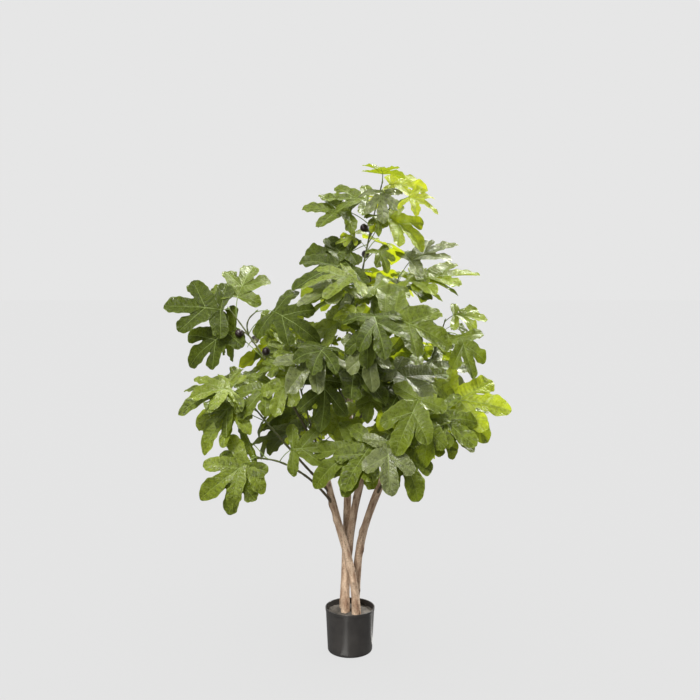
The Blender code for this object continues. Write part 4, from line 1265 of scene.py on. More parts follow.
def leaf_grid(form, rows, bay_rows, fork_rows, columns, draw):
    """The whole leaf laid out flat at length one: its points, what lobe and row each is in, and its faces."""
    lobes, bays = jittered_lobes(form, draw), bay_points(form, draw)
    stalk, fork = np.zeros(2), np.array([form.fork, 0.0])
    row = np.repeat(np.arange(rows + 1), columns + 1)
    share = np.tile(np.linspace(0, 1, columns + 1), rows + 1)
    edge = share * np.clip((row - bay_rows) / RIPPLE_ROWS, 0, 1)
    across = (np.arange(rows)[:, None] * (columns + 1) + np.arange(columns)[None, :]).ravel()
    quads = np.stack([across, across + 1, across + columns + 2, across + columns + 1], axis=1)
    flat, rank, aside, faces, ribs = [], [], [], [], []
    last = len(lobes) - 1
    for k, (lobe, flanks) in enumerate(zip(lobes, leaf_flanks(lobes, bays))):
        forked = 0 < k < last
        origin = fork if forked else stalk
        reach = np.mean([(bay - origin) @ polar(lobe.angle, 1.0) for bay in (bays[k], bays[k + 1])])
        corners = [stalk, fork] if forked else [stalk]
        corners.append(origin + RIB_AT_BAY * reach * polar(lobe.angle, 1.0))
        corners.append(polar(lobe.angle, lobe.length, lobe.starts_at))
        counts = [fork_rows, bay_rows - fork_rows] if forked else [bay_rows]
        rib = through(corners, [*counts, rows - bay_rows])
        for side, bay, flank in ((-1, bays[k], flanks[0]), (1, bays[k + 1], flanks[1])):
            by_fork = (k == 2) or (k == 1 and side == 1) or (k == 3 and side == -1)
            inner = through([stalk, fork, bay], [fork_rows, bay_rows - fork_rows]) if by_fork else through(
                [stalk, bay], [bay_rows])
            grid = half_lobe(lobe, rib, inner, flank, columns, draw)
            faces.append((quads[:, ::-1] if side == 1 else quads) + len(flat) * len(grid))
            flat.append(grid)
            rank.append(np.full(len(grid), k))
            aside.append(side * off_line(grid, corners))
        ribs.append(2 * k * len(row) + np.arange(fork_rows if k in (1, 3) else 0, rows + 1) * (columns + 1))
    flat = np.concatenate(flat)
    _, first, same = np.unique(np.round(flat, 6), axis=0, return_index=True, return_inverse=True)
    same = same.ravel()
    faces = triangles_of(same[np.concatenate(faces)])
    proper = (faces[:, 0] != faces[:, 1]) & (faces[:, 1] != faces[:, 2]) & (faces[:, 0] != faces[:, 2])
    apart = np.bincount(same, np.abs(np.concatenate(aside))) / np.bincount(same)
    aside = apart * np.sign(np.concatenate(aside)[first])
    begins = [max(np.linalg.norm(bays[k]), np.linalg.norm(bays[k + 1])) for k in range(len(lobes))]
    drawn = [(same[rib], lobe.angle, begin) for rib, lobe, begin in zip(ribs, lobes, begins)]
    whole_row, whole_edge = np.tile(row, 2 * len(lobes))[first], np.tile(edge, 2 * len(lobes))[first]
    whole_rank = np.concatenate(rank)[first]
    return LeafGrid(flat[first], whole_rank, aside, whole_row, whole_edge, faces[proper], drawn)


# %% [markdown]
# From the flat layout to a leaf in space. The blade folds up a little along its middle and sags towards
# its tips, exactly as the solid does. On top of that each lobe is a shallow gutter round its rib, bends
# and twists by its own small amount, and swells between the side veins, and its margin is wavy. These
# reliefs are in the mesh and not in a bump, because they show in the outline and catch the light.

# %% Leaf relief
LOBE_GUTTER = 0.28
GUTTER_ROUNDING = 0.018
LOBE_DROOP = (-0.25, 0.95)
LOBE_TWIST = (-0.60, 0.60)
LOBE_SWAY = (-0.25, 0.25)
BLADE_ROLL = (-0.12, 0.12)
CRUMPLES, CRUMPLE_WAVES, CRUMPLE_DEPTH = 3, (12, 26), 0.0045
QUILTING = 0.0050
QUILTING_BEGINS, QUILTING_LOST_AT_EDGE = 0.03, 0.6
MARGIN_RIPPLE = 0.016
RIPPLE_PER_ROW = 0.55
TWIST_BEGINS = 0.20
RIB_RADII = (0.0007, 0.0010, 0.0013, 0.0010, 0.0007)
RIB_END_RADIUS = 0.00025
RIB_STEP = 2
RIB_ENDS_AT = 0.93
RIB_SUNK, RIB_SIDES = 0.35, 4
FULL_LAYOUT = (ROWS, BAY_ROWS, FORK_ROWS, COLUMNS)


def in_space(leaf, grid, vein_every, draw):
    """The grid's points in space, on the leaf's own fold and sag, with the relief of its lobes."""
    flat = grid.flat.copy()
    lobes = len(grid.ribs)
    angles = np.array([angle for _, angle, _ in grid.ribs])[grid.rank]
    begins = np.array([reach for _, _, reach in grid.ribs])[grid.rank]
    droop, twist, sway = (
        np.array([draw.uniform(*span) for _ in range(lobes)])[grid.rank]
        for span in (LOBE_DROOP, LOBE_TWIST, LOBE_SWAY))
    reach = np.linalg.norm(flat, axis=1)
    beyond = np.clip(reach - begins, 0, None)
    eased = np.clip(beyond / TWIST_BEGINS, 0, 1)
    flat[:, 0] -= np.sin(angles) * sway * beyond**2
    flat[:, 1] += np.cos(angles) * sway * beyond**2
    lift = LEAF_FOLD * np.abs(flat[:, 1]) - LEAF_SAG * reach**2
    lift += draw.uniform(*BLADE_ROLL) * flat[:, 1]
    lift += LOBE_GUTTER * (np.sqrt(grid.aside**2 + GUTTER_ROUNDING**2) - GUTTER_ROUNDING)
    lift -= droop * beyond**2
    lift += twist * grid.aside * eased
    for _ in range(CRUMPLES):
        turn, waves = draw.uniform(0, math.pi), draw.uniform(*CRUMPLE_WAVES)
        across = math.cos(turn) * flat[:, 0] + math.sin(turn) * flat[:, 1]
        lift += CRUMPLE_DEPTH * np.sin(waves * across + draw.uniform(0, 6))
    swell = np.sin(math.pi * grid.row / vein_every) ** 2
    swell *= np.clip(np.abs(grid.aside) / QUILTING_BEGINS, 0, 1)
    lift += QUILTING * swell * (1 - QUILTING_LOST_AT_EDGE * grid.edge)
    phase = np.array([draw.uniform(0, 6) for _ in range(2 * lobes)])[2 * grid.rank + (grid.aside > 0)]
    lift += MARGIN_RIPPLE * grid.edge**2 * np.sin(grid.row * RIPPLE_PER_ROW + phase) * eased
    side_way = np.cross(leaf.up, leaf.way)
    return leaf.foot + leaf.length * (
        flat[:, :1] * leaf.way + flat[:, 1:] * side_way + lift[:, None] * leaf.up)


def add_leaf(batch, leaf, draw, slot, rib_slot, layout=FULL_LAYOUT, every=VEIN_EVERY):
    """One leaf's blade and its ribs."""
    grid = leaf_grid(leaf.form, *layout, draw)
    points = in_space(leaf, grid, every, draw)
    marks = np.stack([np.abs(grid.aside) * leaf.length, grid.row / every, grid.edge], axis=1)
    tone = draw.uniform(0, 1)
    batch.add(points, grid.faces, marks, tone, slot)
    scale = leaf.length / LEAF_LENGTH
    for (rib, _, _), radius in zip(grid.ribs, RIB_RADII):
        line = points[rib][:int(len(rib) * RIB_ENDS_AT):RIB_STEP]
        radii = np.linspace(radius, RIB_END_RADIUS, len(line)) * scale
        add_tube(batch, line - leaf.up * (radii * RIB_SUNK)[:, None], radii, RIB_SIDES, tone, rib_slot)


# %% [markdown]
# The tones of the sprays, one letter for each leaf from the foot of the twig to its tip: d dark, m middle,
# g greyish with a painted satin sheen, l light, f fresh, b bright. Most of the fresh and bright ones are at
# the top and at the back, as painted light where the lamps fall on and through the leaves, and those on the
# left and in the middle are darker, as painted shade. The solids give every leaf its place by rule. A few
# would cover a fig, a bough or a patch of sky that shows in the photograph, so here some leaves are made
# smaller and some stand a few centimetres aside on their stalks, and the view opens.

# %% Grow all leaves
# Dark letters paint shade on the left and in the middle, bright letters paint light at the top and back, and g
# paints a satin sheen.
SPRAY_TONES = {
    "top": "dbmfdfmmmgbl", "left_high": "dddmmd", "left_inner": "mmdlmml", "left_mid": "lmmmll",
    "left_low": "mlmmm", "low_left": "fmmlm", "centre_left": "dmdgdm", "upper_left": "lmgmgl",
    "centre_front": "gmgddm", "centre_right": "mldmgg", "upper_right": "glgmlg", "right_high": "gmdmll",
    "right_mid": "lgmllf", "right_low": "mmmml", "front_low": "mmmmmg", "back_high": "flmlflm",
    "back_left": "lmfmlml", "back_right": "flmlmfl", "back_low_left": "mlmlmm", "back_low_right": "lmmlml",
    "back_centre": "mlmmlm",
}
YOUNG_TONES = "lfm"
# Of each spray the rank of each leaf that is made smaller, with its share of the full length.
SMALLER_LEAVES = {
    "top": {2: 0.50, 7: 0.50}, "left_high": {1: 0.76, 3: 0.50, 4: 0.88},
    "left_inner": {3: 0.85, 4: 0.50, 6: 0.60}, "left_mid": {1: 0.60}, "centre_left": {0: 0.85, 1: 0.60},
    "centre_front": {3: 0.80}, "centre_right": {0: 0.55}, "upper_right": {0: 0.75},
    "right_high": {2: 0.80, 4: 0.55, 5: 0.80}, "right_low": {0: 0.72},
    "back_left": {3: 0.75, 4: 0.55, 5: 0.55}, "back_right": {4: 0.70}, "back_low_right": {0: 0.60, 2: 0.70},
}
# Of each spray the rank of each leaf that stands aside, with its move in metres.
LEAVES_SET_ASIDE = {
    "top": {4: (-0.015, 0, -0.060), 5: (0.012, 0, 0.040), 6: (-0.034, 0, 0.010)},
    "left_high": {
        0: (-0.038, 0, 0.050), 1: (0.025, 0, -0.010), 4: (0.004, 0, 0.034), 5: (0.004, 0, -0.018)},
    "left_inner": {0: (-0.030, 0, 0.035)},
    "left_low": {1: (0.024, 0, -0.020), 2: (0.010, 0, 0.040), 4: (0, 0, -0.012)},
    "upper_right": {1: (0, 0, 0.015), 5: (0.010, 0, 0.028)},
    "right_high": {0: (-0.045, 0, 0), 1: (0.030, 0, -0.020)},
    "right_low": {1: (0.020, 0, 0.042), 2: (0, 0, 0.024)},
    "upper_left": {0: (0.010, 0, -0.040)},
    "centre_left": {0: (-0.020, 0, 0)},
}
YOUNG_LAYOUT, YOUNG_VEIN_EVERY = (24, 6, 2, 3), 3

for name, moves in LEAVES_SET_ASIDE.items():
    for rank, move in moves.items():
        leaf = leaves[name][rank]
        leaves[name][rank] = leaf._replace(foot=leaf.foot + np.array(move))

tone_keys = list(LEAF_TONES)
shape_count = 0
for name, grown in leaves.items():
    batch = Batch()
    draw = random.Random(name + " leaves")
    smaller = SMALLER_LEAVES.get(name, {})
    for rank, (leaf, key) in enumerate(zip(grown, SPRAY_TONES[name])):
        if leaf:
            leaf = leaf._replace(length=leaf.length * smaller.get(rank, 1.0))
            add_leaf(batch, leaf, draw, tone_keys.index(key), len(tone_keys))
    for leaf in young[name]:
        add_leaf(
            batch, leaf, draw, tone_keys.index(draw.choice(YOUNG_TONES)), len(tone_keys),
            YOUNG_LAYOUT, YOUNG_VEIN_EVERY)
    piece = joined_piece(
        "foliage_" + name, batch, [*leaf_finishes.values(), rib_plastic], ["leaves_" + name])
    shape_count += len(piece.data.polygons)
print("leaf triangles:", shape_count)

# %% [markdown]
# Boughs, twigs and stalks. Each bough runs on as its twig in one line, thick at the pole and thin at the
# tip, with a swollen foot, a small ring about every two centimetres, and a faint twisting ridge between. A
# stalk leaves the twig from a thickened base, bows, and runs into the blade in line with the middle rib. A
# pointed bud closes each twig.

# %% Boughs and stalks
BOUGH_SIDES, STALK_SIDES = 12, 6
STALK_POINTS = 12
RING_EVERY = 0.021
RING_HEIGHT = 0.00045
RING_WIDTH = 0.0016
FOOT_SWELL, FOOT_LENGTH = 0.35, 0.010
RIDGE_DEPTH, RIDGES_ALONG, RIDGE_SPREAD = 0.00025, 210, 900
BOUGH_POINTS, AGE_FADE = 110, 1.5
SWAY_DEPTH, SWAYS_PER_METRE, SWAY_SEEDS = 0.0012, 14, (3.1, 7.7, 11.3)
# A stalk's bow: where its two handles lie, as shares of its length, and how far each leans.
FIRST_HANDLE, LEAN_TO_TWIG = 0.38, 0.10
SECOND_HANDLE, LEAN_TO_BLADE = 0.30, 0.9
STALK_BASE_SWELL, STALK_BASE_SHARE, STALK_END_SWELL = 0.75, 0.06, 0.12
YOUNG_STALK_SHARE = 0.7
BUD_LENGTH, BUD_RADIUS, BUD_SUNK, BUD_SIDES = 0.013, 0.0027, 0.12, 8
BUD_PROFILE = ((0, 0.65), (0.15, 0.95), (0.4, 1.0), (0.65, 0.7), (0.85, 0.35), (1.0, 0.06))


def limb_relief(draw):
    """The rings and the slight unevenness of a bough."""
    offset = draw.uniform(0, RING_EVERY)

    def relief(along, turns):
        near = np.abs((along + offset) % RING_EVERY - RING_EVERY / 2)
        ring = RING_HEIGHT * np.exp(-(near / RING_WIDTH) ** 2)
        turned = 2 * turns[None, :] + offset * RIDGE_SPREAD
        return ring[:, None] + RIDGE_DEPTH * np.sin(along[:, None] * RIDGES_ALONG + turned)
    return relief


def noise_line(line, seed):
    """Smooth noise along a line."""
    shift = Vector((seed, seed, seed))
    return np.array([noise.noise(Vector(point) * SWAYS_PER_METRE + shift) for point in line])


def add_bough(batch, spray, draw):
    """The bough and main twig of one spray, in one line."""
    start = bough_start(spray, pole_lines)
    shares = np.linspace(0, 1, BOUGH_POINTS)
    line = bent_route(start, spray.through, spray.tip, shares)
    radii = np.interp(
        shares, (0, spray.begins, 1), (BOUGH_ROOT_RADIUS, BOUGH_END_RADIUS, TWIG_END_RADIUS))
    away = np.linalg.norm(line - start, axis=1) - POLES[spray.pole].top_radius
    radii = radii * (1 + FOOT_SWELL * np.exp(-np.clip(away, 0, None) / FOOT_LENGTH))
    ages = np.clip(shares / spray.begins, 0, 1) ** AGE_FADE
    sway = np.stack([noise_line(line, seed) for seed in SWAY_SEEDS], axis=1)
    line = line + sway * SWAY_DEPTH * np.sin(math.pi * shares)[:, None]
    first = len(batch.tones)
    add_tube(batch, line, radii, BOUGH_SIDES, 0.5, 0, 0.0, limb_relief(draw))
    batch.tones[first] = tones_along(ages, BOUGH_SIDES)


def stalk_line(leaf, twig_way):
    """A stalk that leaves the twig, bows, and comes in along the blade."""
    reach = leaf.foot - leaf.root
    length = np.linalg.norm(reach)
    first = leaf.root + reach * FIRST_HANDLE + twig_way * (LEAN_TO_TWIG * length)
    second = leaf.foot - unit(unit(reach) + LEAN_TO_BLADE * leaf.way) * (SECOND_HANDLE * length)
    t = np.linspace(0, 1, STALK_POINTS)[:, None]
    bow = 3 * t * (1 - t)**2 * first + 3 * t**2 * (1 - t) * second
    return (1 - t)**3 * leaf.root + bow + t**3 * leaf.foot


def add_stalk(batch, leaf, twig_way, scale, draw):
    """One leaf's stalk, thick where it joins the twig."""
    shares = np.linspace(0, 1, STALK_POINTS)
    swell = STALK_BASE_SWELL * np.exp(-shares / STALK_BASE_SHARE) + STALK_END_SWELL * shares
    radii = STALK_RADIUS * scale * (1.0 + swell)
    add_tube(batch, stalk_line(leaf, twig_way), radii, STALK_SIDES, draw.uniform(0, 1), 1, draw.uniform(0, 9))


def add_bud(batch, tip, way, draw):
    """A pointed bud that closes a twig."""
    shares, widths = np.array(BUD_PROFILE).T
    line = tip + (shares - BUD_SUNK)[:, None] * BUD_LENGTH * way
    add_tube(batch, line, widths * BUD_RADIUS, BUD_SIDES, draw.uniform(0, 1), 1)


# %% Grow all boughs
FINE_TWIG_STEPS = 8


def grow_limbs(name, spray):
    """The joined limbs of one spray: bough, twigs, stalks and buds."""
    batch = Batch()
    draw = random.Random(name + " limbs")
    _, twig, side = routes[name]
    add_bough(batch, spray, draw)
    side_line = smooth_route(side, FINE_TWIG_STEPS)
    radii = np.linspace(SIDE_TWIG_ROOT_RADIUS, TWIG_END_RADIUS, len(side_line))
    add_tube(batch, side_line, radii, BOUGH_SIDES, 1.0, 0, 0.0, limb_relief(draw))
    for line in (twig, side):
        add_bud(batch, line[-1], unit(line[-1] - line[-2]), draw)
    for rank, leaf in enumerate(leaves[name]):
        if leaf:
            line = side if rank == 1 else twig
            add_stalk(batch, leaf, unit(line[-1] - line[0]), 1.0, draw)
    for leaf in young[name]:
        add_stalk(batch, leaf, unit(twig[-1] - twig[0]), YOUNG_STALK_SHARE, draw)
    finishes = [bough_paint, stalk_plastic]
    return joined_piece("limbs_" + name, batch, finishes, ["bough_" + name])


limbs = [grow_limbs(name, spray) for name, spray in SPRAYS.items()]
print("limb triangles:", sum(len(piece.data.polygons) for piece in limbs))

# %% [markdown]
# The figs are hollow moulded plastic: a round body drawn out to a neck, with faint ribs and a small scaly
# eye at the end. The body is dark purple brown and the neck stays green, so the colour runs along the
# fig's length, which each corner carries as its mark.

# %% Figs
FIG_RINGS, FIG_AROUND = 26, 28
FIG_PROFILE = (
    (0.00, 0.0017), (0.10, 0.0016), (0.20, 0.0022), (0.32, 0.0052), (0.46, 0.0090), (0.60, 0.0116),
    (0.74, 0.0122), (0.86, 0.0104), (0.94, 0.0066), (0.975, 0.0034), (1.00, 0.0022))
FIG_PURPLE = (0.016, 0.006, 0.008)
FIG_GREEN = (0.120, 0.125, 0.035)
# Between which values of its mark, blotches added by this share, a fig turns from green to purple.
RIPENS_BETWEEN, RIPE_BLOTCHES = (0.45, 0.85), 0.5
RIPE_AT_EYE, RIPE_SPREAD = 1.1, (-0.1, 0.15)
RINGS_TO_EYE = 0.85
FIG_RIBS, FIG_RIB_DEPTH = 11, 0.00035
RIBS_BEGIN, RIBS_GROW, RIBS_FADE = 0.3, 0.3, 0.1

fig_skin, tree, shader = new_finish("fig_skin")
skin = unevenness(tree, marks_in(tree), 90.0, 1400.0)
ripe = math_of(tree, "MULTIPLY_ADD", skin.outputs["Blotch"], RIPE_BLOTCHES, tone_in(tree))
ripe = ranged(tree, ripe, 0.0, 1.0, *RIPENS_BETWEEN)
feed(tree, shader.inputs["Base Color"], mixed_colours(tree, ripe, FIG_GREEN, FIG_PURPLE))
feed(tree, shader.inputs["Roughness"], ranged(tree, skin.outputs["Blotch"], 0.24, 0.40))
bumped(tree, shader, skin.outputs["Grain"], 0.0003)


def add_fig(batch, fig, draw):
    """One fig from its root on the twig to its eye."""
    shares = np.linspace(0, 1, FIG_RINGS) ** RINGS_TO_EYE
    radii = np.interp(shares, *zip(*FIG_PROFILE))
    line = fig.root + np.outer(shares * (FIG_LENGTH + FIG_STALK), fig.way)
    phase = draw.uniform(0, 6)

    def ribs(along, turns):
        grown = np.clip((shares - RIBS_BEGIN) / RIBS_GROW, 0, 1) * np.clip((1 - shares) / RIBS_FADE, 0, 1)
        depth = FIG_RIB_DEPTH * grown
        return depth[:, None] * np.cos(FIG_RIBS * turns + phase)[None, :]
    first = len(batch.tones)
    add_tube(batch, line, radii, FIG_AROUND, 0.5, 0, draw.uniform(0, 5), ribs)
    batch.tones[first] = tones_along(shares * RIPE_AT_EYE + draw.uniform(*RIPE_SPREAD), FIG_AROUND)


batch = Batch()
for name, hung in figs.items():
    draw = random.Random(name + " figs")
    for fig in hung:
        add_fig(batch, fig, draw)
joined_piece("figs", batch, [fig_skin])
print("fig triangles:", sum(len(faces) for faces in batch.faces))

# %% [markdown]
# The poles are real wood, with the thin bark left on: light brown with darker specks, grey patches, fine
# furrows along the grain, and knots where side shoots were cut off. The furrows and knots are pushed into
# a fine tube as true relief. The colour is drawn along the grain, by the marks that every tube carries.

# %% Bark
POLE_SIDES = 56
POLE_RING_STEP = 0.0032
BARK_LIGHT = (0.640, 0.475, 0.340)
BARK_DARK = (0.280, 0.168, 0.104)
BARK_SPECK = (0.060, 0.036, 0.022)
GRAIN_STRETCH = (1.0, 1.0, 0.22)

bark, tree, shader = new_finish("pole_bark")
marks = marks_in(tree)
along_grain = node_in(tree, "ShaderNodeMapping")
along_grain.inputs["Scale"].default_value = GRAIN_STRETCH
feed(tree, along_grain.inputs["Vector"], marks)
broad = unevenness(tree, along_grain.outputs[0], 75.0, 700.0)
specks = unevenness(tree, marks, 240.0, 1500.0)
wood_colour = mixed_colours(
    tree, ranged(tree, broad.outputs["Blotch"], 0.0, 1.0, 0.36, 0.60), BARK_DARK, BARK_LIGHT)
speck_mask = ranged(tree, specks.outputs["Blotch"], 0.0, 0.80, 0.54, 0.68)
specked = mixed_colours(tree, speck_mask, wood_colour, BARK_SPECK)
feed(tree, shader.inputs["Base Color"], mixed_colours(tree, tone_in(tree), specked, BARK_SPECK))
feed(tree, shader.inputs["Roughness"], ranged(tree, broad.outputs["Grain"], 0.65, 0.85))
furrows = bumped(tree, shader, broad.outputs["Grain"], 0.0010)
bumped(tree, shader, specks.outputs["Blotch"], 0.0006, furrows)


# %% Poles with relief
KNOTS_PER_POLE = 7
KNOT_PLACES, KNOT_SIZES = (0.06, 0.97), (0.6, 1.2)
KNOT_HEIGHT, KNOT_LENGTH, KNOT_STRETCH = 0.0030, 0.011, 1.3
KNOT_MARK_SHARE, KNOT_MARK = 0.42, 0.9
ROUGHNESS_HEIGHT, ROUGH_AROUND, ROUGH_ALONG = 0.00055, 2.6, 26
BARK_FRACTAL = (0.8, 2.1, 4)
SWELL_HEIGHT, SWELLS_ALONG = 0.0010, 16
POLE_POINTS, POLE_TIP_SHARE = 24, 0.86


def bark_relief(pole, draw, length):
    """The relief of one pole, and a mask that is nearly one on its knots."""
    knots = [
        (draw.uniform(*KNOT_PLACES) * length, draw.uniform(0, 2 * math.pi), draw.uniform(*KNOT_SIZES))
        for _ in range(KNOTS_PER_POLE)]
    shift = Vector((draw.uniform(0, 50), draw.uniform(0, 50), 0))

    def knot_shape(along, turns, spread):
        shape = np.zeros((len(along), len(turns)))
        for at, turned, size in knots:
            swing = np.abs((turns - turned + math.pi) % (2 * math.pi) - math.pi) * pole.foot_radius
            away = np.hypot((along[:, None] - at) / KNOT_STRETCH, swing[None, :])
            away /= KNOT_LENGTH * size * spread
            shape = np.maximum(shape, size * np.exp(-away**2))
        return shape

    def relief(along, turns):
        around = [Vector((math.cos(turn) * ROUGH_AROUND, math.sin(turn) * ROUGH_AROUND, 0)) for turn in turns]
        rough = np.array([[
            noise.fractal(spot + Vector((0, 0, place * ROUGH_ALONG)) + shift, *BARK_FRACTAL)
            for spot in around] for place in along])
        swell = np.array([noise.noise(Vector((0, 0, place * SWELLS_ALONG)) + shift * 2) for place in along])
        knotted = KNOT_HEIGHT * knot_shape(along, turns, 1.0)
        return ROUGHNESS_HEIGHT * rough + SWELL_HEIGHT * swell[:, None] + knotted

    def knot_marks(along, turns):
        return np.clip(knot_shape(along, turns, KNOT_MARK_SHARE) * KNOT_MARK, 0, KNOT_MARK)

    return relief, knot_marks


def fine_pole(name, pole):
    """One pole in place of its solid."""
    draw = random.Random(name)
    coarse = pole_route(pole, POLE_POINTS)
    length = float(np.sum(np.linalg.norm(np.diff(coarse, axis=0), axis=1)))
    steps = np.concatenate([[0], np.cumsum(np.linalg.norm(np.diff(coarse, axis=0), axis=1))])
    wanted = np.linspace(0, length, int(length / POLE_RING_STEP))
    line = np.stack([np.interp(wanted, steps, coarse[:, axis]) for axis in range(3)], axis=1)
    share = wanted / length
    flare = 1 + (POLE_FLARE - 1) * np.clip(1 - share / POLE_FLARE_ENDS, 0, 1)
    radii = (pole.foot_radius + (pole.top_radius - pole.foot_radius) * share) * flare
    radii[-1] *= POLE_TIP_SHARE
    relief, knots = bark_relief(pole, draw, length)
    batch = Batch()
    add_tube(batch, line, radii, POLE_SIDES, 0.0, 0, 0.0, relief)
    turns = np.arange(POLE_SIDES) * 2 * math.pi / POLE_SIDES
    batch.tones[0] = np.concatenate([knots(wanted, turns).ravel(), [0.0, 0.0]]).astype(np.float32)
    return joined_piece(name + "_bark", batch, [bark], [name])


poles = [fine_pole(name, pole) for name, pole in POLES.items()]
print("pole triangles:", sum(len(piece.data.polygons) for piece in poles))

# %% [markdown]
# The pot is a thin moulded shell of charcoal plastic with a satin skin. It could be a lathe modifier on a
# profile, but laying out the rings in code keeps the wall's true thickness, rounds both lips, and lets
# the skin be very slightly uneven, as a cooled moulding is.

# %% Turned shapes
POT_AROUND = 144
ROUNDING_STEPS = 5


def rounded(profile, rounding):
    """A profile whose corners are rounded off, where a rounding is given."""
    points = []
    for k, (corner, size) in enumerate(zip(profile, rounding)):
        corner = np.array(corner, float)
        if not size or k in (0, len(profile) - 1):
            points.append(corner)
            continue
        before, after = np.array(profile[k - 1], float), np.array(profile[k + 1], float)
        start = corner + unit(before - corner) * min(size, np.linalg.norm(before - corner) / 2)
        end = corner + unit(after - corner) * min(size, np.linalg.norm(after - corner) / 2)
        for t in np.linspace(0, 1, ROUNDING_STEPS):
            points.append((1 - t)**2 * start + 2 * t * (1 - t) * corner + t**2 * end)
    return np.array(points)


def subdivided(profile, longest):
    """A profile with no step longer than this."""
    points = [profile[0]]
    for a, b in zip(profile, profile[1:]):
        count = max(1, int(math.ceil(np.linalg.norm(b - a) / longest)))
        points += [a + (b - a) * (k + 1) / count for k in range(count)]
    return np.array(points)


def add_turned(batch, profile, around, relief=None):
    """A profile of (radius, height) turned round the upright axis, from its axis to its axis."""
    turns = np.arange(around) * 2 * math.pi / around
    inner = profile[1:-1]
    heights = np.repeat(inner[:, 1:], around, axis=1)
    radii = np.repeat(inner[:, :1], around, axis=1)
    if relief is not None:
        radii, heights = relief(radii, heights, turns)
    rings = np.stack([radii * np.cos(turns), radii * np.sin(turns), heights], axis=2).reshape(-1, 3)
    here, beside = ring_corners(len(inner), around)
    quads = np.stack([here, here + around, beside + around, beside], axis=2).reshape(-1, 4)
    rim = np.arange(around)
    top, bottom = len(rings), len(rings) + 1
    last = (len(inner) - 1) * around
    caps = np.concatenate([
        np.stack([np.full(around, top), rim, (rim + 1) % around], axis=1),
        np.stack([np.full(around, bottom), last + (rim + 1) % around, last + rim], axis=1)])
    corners = np.concatenate([rings, [(0, 0, profile[0][1])], [(0, 0, profile[-1][1])]])
    batch.add(corners, np.concatenate([triangles_of(quads), caps]), corners)


# %% Pot
POT_PLASTIC = (0.024, 0.022, 0.021)
POT_SHEEN = (0.038, 0.035, 0.033)
POT_STEP = 0.004
# The rounding of each corner of the profile, from the floor inside over the lip to the foot.
POT_ROUNDINGS = (0, 0.004, 0.0009, 0.0009, 0.0005, 0.0006, POT_FOOT_ROUNDING, 0)


def pot_radius(height):
    """The pot's outer radius at a height."""
    return POT_FOOT_RADIUS + (POT_RIM_RADIUS - POT_FOOT_RADIUS) * height / POT_HEIGHT


pot_plastic, tree, shader = new_finish("pot_plastic")
skin = unevenness(tree, place_in(tree), 24.0, 1800.0)
skin_colour = mixed_colours(tree, ranged(tree, skin.outputs["Blotch"], 0.0, 1.0), POT_PLASTIC, POT_SHEEN)
feed(tree, shader.inputs["Base Color"], skin_colour)
feed(tree, shader.inputs["Roughness"], ranged(tree, skin.outputs["Grain"], 0.24, 0.34))
bumped(tree, shader, skin.outputs["Grain"], 0.00008)

lip = POT_HEIGHT - POT_LIP_HEIGHT
pot_profile = rounded([
    (0, POT_WALL),
    (pot_radius(POT_WALL) - POT_WALL, POT_WALL),
    (pot_radius(POT_HEIGHT) - POT_WALL, POT_HEIGHT),
    (pot_radius(POT_HEIGHT) + POT_LIP_STANDOUT, POT_HEIGHT),
    (pot_radius(lip) + POT_LIP_STANDOUT, lip),
    (pot_radius(lip), lip - POT_LIP_STANDOUT),
    (pot_radius(0), 0),
    (0, 0),
], POT_ROUNDINGS)
batch = Batch()
add_turned(batch, subdivided(pot_profile, POT_STEP), POT_AROUND)
pot_shell = joined_piece("pot_shell", batch, [pot_plastic], ["pot"])
print("pot triangles:", len(batch.faces[0]))

# %% [markdown]
# The pot stands too low for the strip lamps to show in it. As in a studio, a narrow glowing card lies on the
# floor before it and another one beside it, and both light the pot alone. They leave an upright light on
# its front and a paler right edge.

# %% Cards beside the pot
CARD_SIZE = (0.035, 0.46)
CARD_AWAY = 0.31
CARD_HEIGHT = 0.003

only_pot = bpy.data.collections.new("lit_by_cards")
only_pot.objects.link(pot_shell)
for name, strength, turned in (("card_front", 0.10, -17), ("card_side", 0.13, 118)):
    turned = math.radians(turned)
    card = new_lamp(name, "AREA", strength, (
        CARD_AWAY * math.sin(turned), -CARD_AWAY * math.cos(turned), CARD_HEIGHT))
    card.rotation_euler = (math.pi, 0.0, turned)
    make_strip(card, CARD_SIZE)
    card.light_linking.receiver_collection = only_pot
print("cards beside the pot: 2")
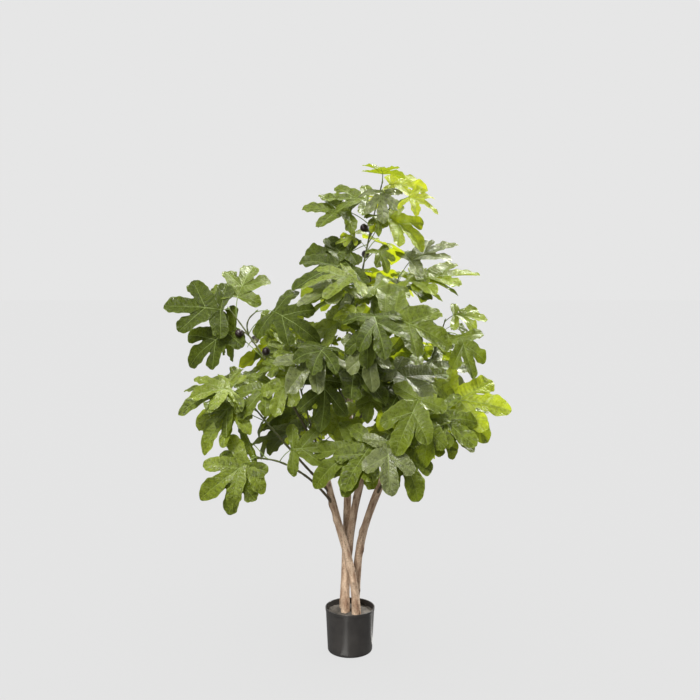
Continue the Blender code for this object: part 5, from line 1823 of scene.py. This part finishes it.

# %% [markdown]
# The pot is filled with a cement-like casting that holds the poles. Its top is rough, smeared up round
# the foot of each pole, and stained grey brown.

# %% Filling
FILL_RINGS, FILL_AROUND = 40, 120
FILL_ROUGH, FILL_ROUGH_SCALE = 0.0016, 90
FILL_FRACTAL = (0.9, 2.0, 4)
SMEAR_HEIGHT, SMEAR_WIDTH = 0.0035, 0.005
TOP_WITHIN = 0.0001
CAST_DARK = (0.035, 0.030, 0.026)
CAST_LIGHT = (0.105, 0.092, 0.078)

casting, tree, shader = new_finish("cast_filling")
crust = unevenness(tree, place_in(tree), 60.0, 900.0)
crust_colour = mixed_colours(tree, ranged(tree, crust.outputs["Blotch"], 0.0, 1.0), CAST_DARK, CAST_LIGHT)
feed(tree, shader.inputs["Base Color"], crust_colour)
feed(tree, shader.inputs["Roughness"], ranged(tree, crust.outputs["Grain"], 0.80, 0.95))
bumped(tree, shader, crust.outputs["Grain"], 0.0012)


def fill_relief(radii, heights, turns):
    """The rough top of the casting, with a smear round each pole."""
    heights = heights.copy()
    x, y = radii * np.cos(turns), radii * np.sin(turns)
    on_top = heights > fill_top() - TOP_WITHIN
    for row, column in zip(*np.nonzero(on_top)):
        spot = Vector((x[row, column], y[row, column], 0))
        heights[row, column] += FILL_ROUGH * noise.fractal(spot * FILL_ROUGH_SCALE, *FILL_FRACTAL)
    for pole in POLES.values():
        away = np.hypot(x - pole.route[0][0], y - pole.route[0][1]) - pole.foot_radius * POLE_FLARE
        smear = SMEAR_HEIGHT * np.exp(-np.clip(away, 0, None) / SMEAR_WIDTH)
        heights = np.where(on_top, heights + smear, heights)
    return radii, heights


inset = POT_WALL + CLEARANCE
fill_radius = pot_radius(fill_top()) - inset
fill_profile = [(0, fill_top())]
fill_profile += [(fill_radius * (k + 1) / FILL_RINGS, fill_top()) for k in range(FILL_RINGS)]
fill_profile += [(pot_radius(inset) - inset, inset), (0, inset)]
batch = Batch()
add_turned(batch, np.array(fill_profile), FILL_AROUND, fill_relief)
joined_piece("filling_crust", batch, [casting], ["filling"])
print("filling triangles:", len(batch.faces[0]))
